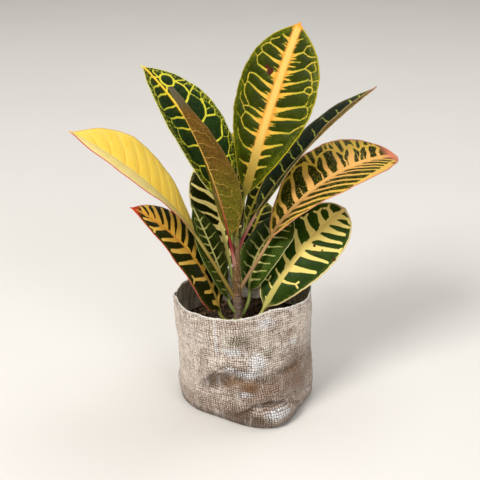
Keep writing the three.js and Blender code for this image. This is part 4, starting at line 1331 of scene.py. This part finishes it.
leaf_piece(
    "narrow_right_leaf", "dark_leaf",
    "121f10 2a4020 dcdc60 bcc45a ecdc84 d2b46c c8a460 8a4030 b98a72 8f4040 74702c 7c6430 c0a050",
    look={"Rib Width": 3.2, "Rib Tip Width": 1.6, "Net Spacing": 4.5, "Net Width": 0.35, "Net Reach": 8.0,
        "Net Share": 0.35, "Flecks": 0.3, "Tip Length": 15.0},
    leaf=dict(
        joint=190, stalk=48, blade=203, width=59, widest=0.56, fullness=1.4, point=18,
        direction=(47, 37, -13), rise=(59, 50, 41), roll=0, twist=0, fold=(16, 24), gloss=0.2),
    veins=dict(
        seed=8, width=(1.9, 1.3), fork=0.3, arm=4, sway=1.0,
        left=[(24, 27, 60), (44, 47, 60), (62, 66, 60), (80, 82, 55), (93, 97, 68), (115, 117, 60),
            (137, 133, 75), (152, 150, 60), (168, 168, 75), (180, 180, 60), (190, 190, 50)],
        right=[(30, 36, 60), (58, 64, 60), (90, 98, 60), (122, 128, 55), (150, 156, 60), (174, 178, 60)]))


# The orange leaf at the right: broad peach-orange veins cut its black-green ground into islands, speckled
# with yellow. The margin and the tip are coral pink.

leaf_piece(
    "orange_leaf", "orange_leaf",
    "161e02 3c470c f2b866 e2ba4a f0ba68 c0965a d9906a e08868 b08a60 9c7c58 7a6a34 8a5c34 d9a45a",
    look={"Rib Width": 7.0, "Rib Tip Width": 5.0, "Margin Width": 1.6, "Net Spacing": 4.6, "Net Width": 0.9,
        "Net Share": 0.4, "Flecks": 0.9, "Zone": 0.1, "Ragged": 2.2, "Tip Length": 26.0},
    leaf=dict(
        joint=140, stalk=71, blade=206, width=96, widest=0.53, fullness=2.05, point=7,
        direction=(-19, 20, 35), rise=(63, 59, -12), roll=-10, twist=27, fold=(19, 10), blunt=8),
    veins=dict(
        seed=9, width=(4.4, 3.2), arcs=1.0, arc_width=2.6, twigs=3, teeth=1, tooth_width=1.6,
        tooth_reach=(0.15, 0.4), sway=1.4, bow=0.25, thick=(0.8, 1.2),
        left=[(12, 20, 70), (26, 35, 76), (41, 49, 80), (58, 77, 82, 1.2), (80, 97, 76, 1.7),
            (99, 104, 50, 0.4), (109, 118, 72, 1.1), (123, 133, 68), (131, 138, 42, 0.4),
            (139, 152, 68, 1.6), (151, 158, 45, 0.4), (161, 171, 66, 1.3), (176, 184, 70)],
        right=[(8, 30, 85), (22, 48, 90), (36, 64, 93), (50, 82, 96), (63, 100, 97), (77, 114, 93),
            (91, 124, 88), (104, 138, 84), (116, 150, 78), (129, 160, 74), (142, 168, 70), (155, 178, 68),
            (168, 188, 65)],
        extra=[(8.0, 100, 112, 94, 130, 90, 150, 86, 175)]))


# The broad lower right leaf: dark green with a wide cream-yellow midrib, thick forked bars and an
# unbroken cream margin. Its base is greener, and a few brown nicks scar it.

leaf_piece(
    "lower_right_leaf", "dark_leaf",
    "1c3008 3c560e f0d87a f2dc80 ecd070 c0b860 e2cf8e e4cc94 bcb868 98a454 5f7a44 5f7a44 c8c878",
    look={"Rib Width": 7.0, "Rib Tip Width": 4.5, "Margin Width": 1.7, "Net Spacing": 4.5, "Net Width": 0.4,
        "Net Reach": 6.0, "Net Share": 0.15, "Tip Length": 6.0, "Base Length": 16.0},
    leaf=dict(
        joint=109, stalk=38, blade=154, width=76, widest=0.62, fullness=1.28, point=2,
        direction=(-51, 25, 23), rise=(-17, 62, 31), roll=35, twist=-7, fold=(-3, -12),
        spots=[(0.2, 97, 2), (0.38, 93, 1.6), (0.48, 99, 1.4), (0.93, 100, 2.4), (0.3, 90, 1.2)]),
    veins=dict(
        seed=10, width=(9.0, 3.4), taper=1.6, fork=0.4, arm=5, thick=(0.85, 1.2),
        left=[(12, 16, 35, 0.3), (27, 33, 50, 0.35), (43, 49, 40, 0.5), (61, 67, 42, 0.9), (81, 96, 60),
            (105, 113, 68), (122, 128, 57), (136, 139, 55)],
        right=[(41, 47, 62, 0.6), (59, 73, 78), (80, 92, 84), (91, 112, 88), (106, 121, 80), (119, 131, 74),
            (131, 141, 80), (141, 147, 66)]))


# The leaf inside the bag's rim at the right: it grows low on the stem, close above the soil, and is green
# with pale, nearly level side veins.

leaf_piece(
    "inner_right_leaf", "green_leaf",
    "1a2a02 38500e d0cc80 a6ac66 d6ca78 a0a45e bcb87e aaa86c 9ca45a 8a9c50 5c7c44 5c7c44 b0bd70",
    look={"Rib Tip Width": 1.6, "Margin Width": 0.6, "Net Width": 0.3, "Net Reach": 20.0, "Net Share": 0.2,
        "Tip Length": 4.0},
    leaf=dict(
        joint=108, stalk=35, blade=109, width=63, widest=0.65, fullness=1.05, point=5,
        direction=(18, 43, 14), rise=(35, 92, 20), roll=6, twist=2, fold=(-5, -10)),
    veins=dict(
        seed=11, width=(2.6, 1.1), sway=0.8,
        left=[(18, 22, 65), (30, 33, 68), (42, 45, 72), (54, 57, 80), (65, 69, 80), (76, 80, 75),
            (88, 92, 65)],
        right=[(16, 22, 75), (27, 35, 82), (38, 46, 78), (48, 58, 78), (59, 73, 80), (73, 86, 75),
            (84, 94, 62), (95, 100, 50)]))


# The leaves at the back: one behind the narrow leaf and three that fill the far side. They carry the same
# lemon net on nearly black green as the upper left leaf, in their own layout.

BACK_TONES = (
    "121c00 2c3f0a ecdc58 d8cc5c f2d458 b4b44e cccb7c d8c850 9aaa52 7c8f42 5f7640 5f7640 b8bd5c")
BACK_LOOK = {"Rib Width": 4.6, "Margin Width": 0.6, "Net Width": 0.4, "Net Share": 0.4, "Flecks": 0.3}
BACK_LEAVES = {
    "back_right_leaf": dict(joint=178, stalk=41, blade=133, width=42, widest=0.59, fullness=1.6,
                            direction=(71, 66, 49), rise=(52, 49, 26), roll=-20, twist=-11, fold=(0, 10)),
    "rear_leaf": dict(joint=190, stalk=40, blade=150, width=62, widest=0.56, fullness=1.7,
                      direction=(112, 95, 84), rise=(54, 44, 10), roll=0, twist=6, fold=(14, 14)),
    "rear_left_leaf": dict(joint=127, stalk=36, blade=120, width=54, widest=0.56, fullness=1.7,
                           direction=(122, 118, 114), rise=(32, 34, 2), roll=0, twist=0, fold=(14, 14)),
    "low_rear_leaf": dict(joint=121, stalk=38, blade=118, width=54, widest=0.56, fullness=1.7,
                          direction=(80, 76, 68), rise=(38, 50, 14), roll=0, twist=0, fold=(12, 12)),
}
for index, (node, leaf) in enumerate(BACK_LEAVES.items()):
    ladder = range(14, leaf["blade"] - 8, 14)
    leaf_piece(
        node, "dark_leaf", BACK_TONES, BACK_LOOK, {**leaf, "point": 8},
        dict(seed=20 + index, width=(3.0, 1.4), arcs=0.8, arc_width=1.0, twigs=1,
             left=[(root, root + 5, 72) for root in ladder],
             right=[(root + 6, root + 11, 72) for root in ladder]))


# The young leaf at the stem's tip: the newest one, still rolled and pointed, with only faint veins yet.
# It is orange olive with a brown side.

leaf_piece(
    "young_leaf", "young_leaf",
    "7f6a22 9c7e2a b9963a a8843a b9803a 9a7034 8f5a2e 7a5230 8f8038 7c7436 94742c 8a5c2c b0863c",
    look={"Rib Width": 1.0, "Rib Tip Width": 0.4, "Margin Width": 0.3, "Net Share": 0.1, "Tip Length": 8.0,
        "Left Tint": "64442a", "Left Share": 0.7, "Net Spacing": 5.0, "Net Reach": 8.0},
    leaf=dict(
        joint=213, stalk=8, blade=34, width=15, widest=0.42, fullness=1.5, point=4, grid=(0.7, 0.6),
        direction=(292, 292, 292), rise=(46, 80, 84), roll=90, twist=0, fold=(38, 38)),
    veins=dict(
        seed=30, width=(0.5, 0.3), quilting=0.1, sway=0.1,
        left=[(root, root + 3, 80) for root in range(6, 28, 4)],
        right=[(root, root + 3, 80) for root in range(7, 29, 4)]))


# Floor, light and camera: a plain pale floor, soft studio light, and the photograph's viewing angle.

FLOOR_REACH = 30.0
LIGHT_TARGET = (0, 0, 0.2)
# Soft discs of light: place, diameter, power and tint.
LIGHTS = {
    "key_light": ((-2.0, -2.2, 3.0), 1.7, 134, (1, 0.975, 0.93)),
    "top_light": ((0.6, 0.9, 3.6), 2.4, 48, (1, 1, 1)),
    "fill_light": ((1.4, -2.8, 1.4), 2.0, 32, (1, 1, 1)),
}
WORLD_TINT = (1, 0.985, 0.96, 1)
WORLD_STRENGTH = 0.3
CAMERA_PLACE = (0, -1.043, 0.650)
CAMERA_PITCH = 23
CAMERA_LENS = 75
CAMERA_SENSOR = 36

floor_mesh = bpy.data.meshes.new("studio_floor")
floor_corners = [(x * FLOOR_REACH, y * FLOOR_REACH, 0) for x, y in ((-1, -1), (1, -1), (1, 1), (-1, 1))]
floor_mesh.from_pydata(floor_corners, [], [(0, 1, 2, 3)])
floor = add_object("studio_floor", floor_mesh)
floor_finish, floor_nodes, floor_shader = new_material("pale_floor", 0.2)
wire(floor_nodes, floor_shader, floor_nodes.mix(floor_nodes.grain(300, 2.0), "e4e1dc", "eae7e3"), 0.9)
floor_mesh.materials.append(floor_finish)

for name, (place, size, power, tint) in LIGHTS.items():
    light = bpy.data.lights.new(name, "AREA")
    light.shape = "DISK"
    light.size = size
    light.energy = power
    light.color = tint
    lamp = add_object(name, light)
    lamp.location = place
    lamp.rotation_euler = (Vector(LIGHT_TARGET) - Vector(place)).to_track_quat("-Z", "Y").to_euler()

world = bpy.data.worlds.new("studio")
world.use_nodes = True
world.node_tree.nodes["Background"].inputs["Color"].default_value = WORLD_TINT
world.node_tree.nodes["Background"].inputs["Strength"].default_value = WORLD_STRENGTH
bpy.context.scene.world = world
bpy.context.scene.view_settings.view_transform = "Standard"

camera_data = bpy.data.cameras.new("camera")
camera_data.lens = CAMERA_LENS
camera_data.sensor_width = CAMERA_SENSOR
camera = add_object("camera", camera_data)
camera.location = CAMERA_PLACE
camera.rotation_euler = (math.radians(90 - CAMERA_PITCH), 0, 0)
bpy.context.scene.camera = camera
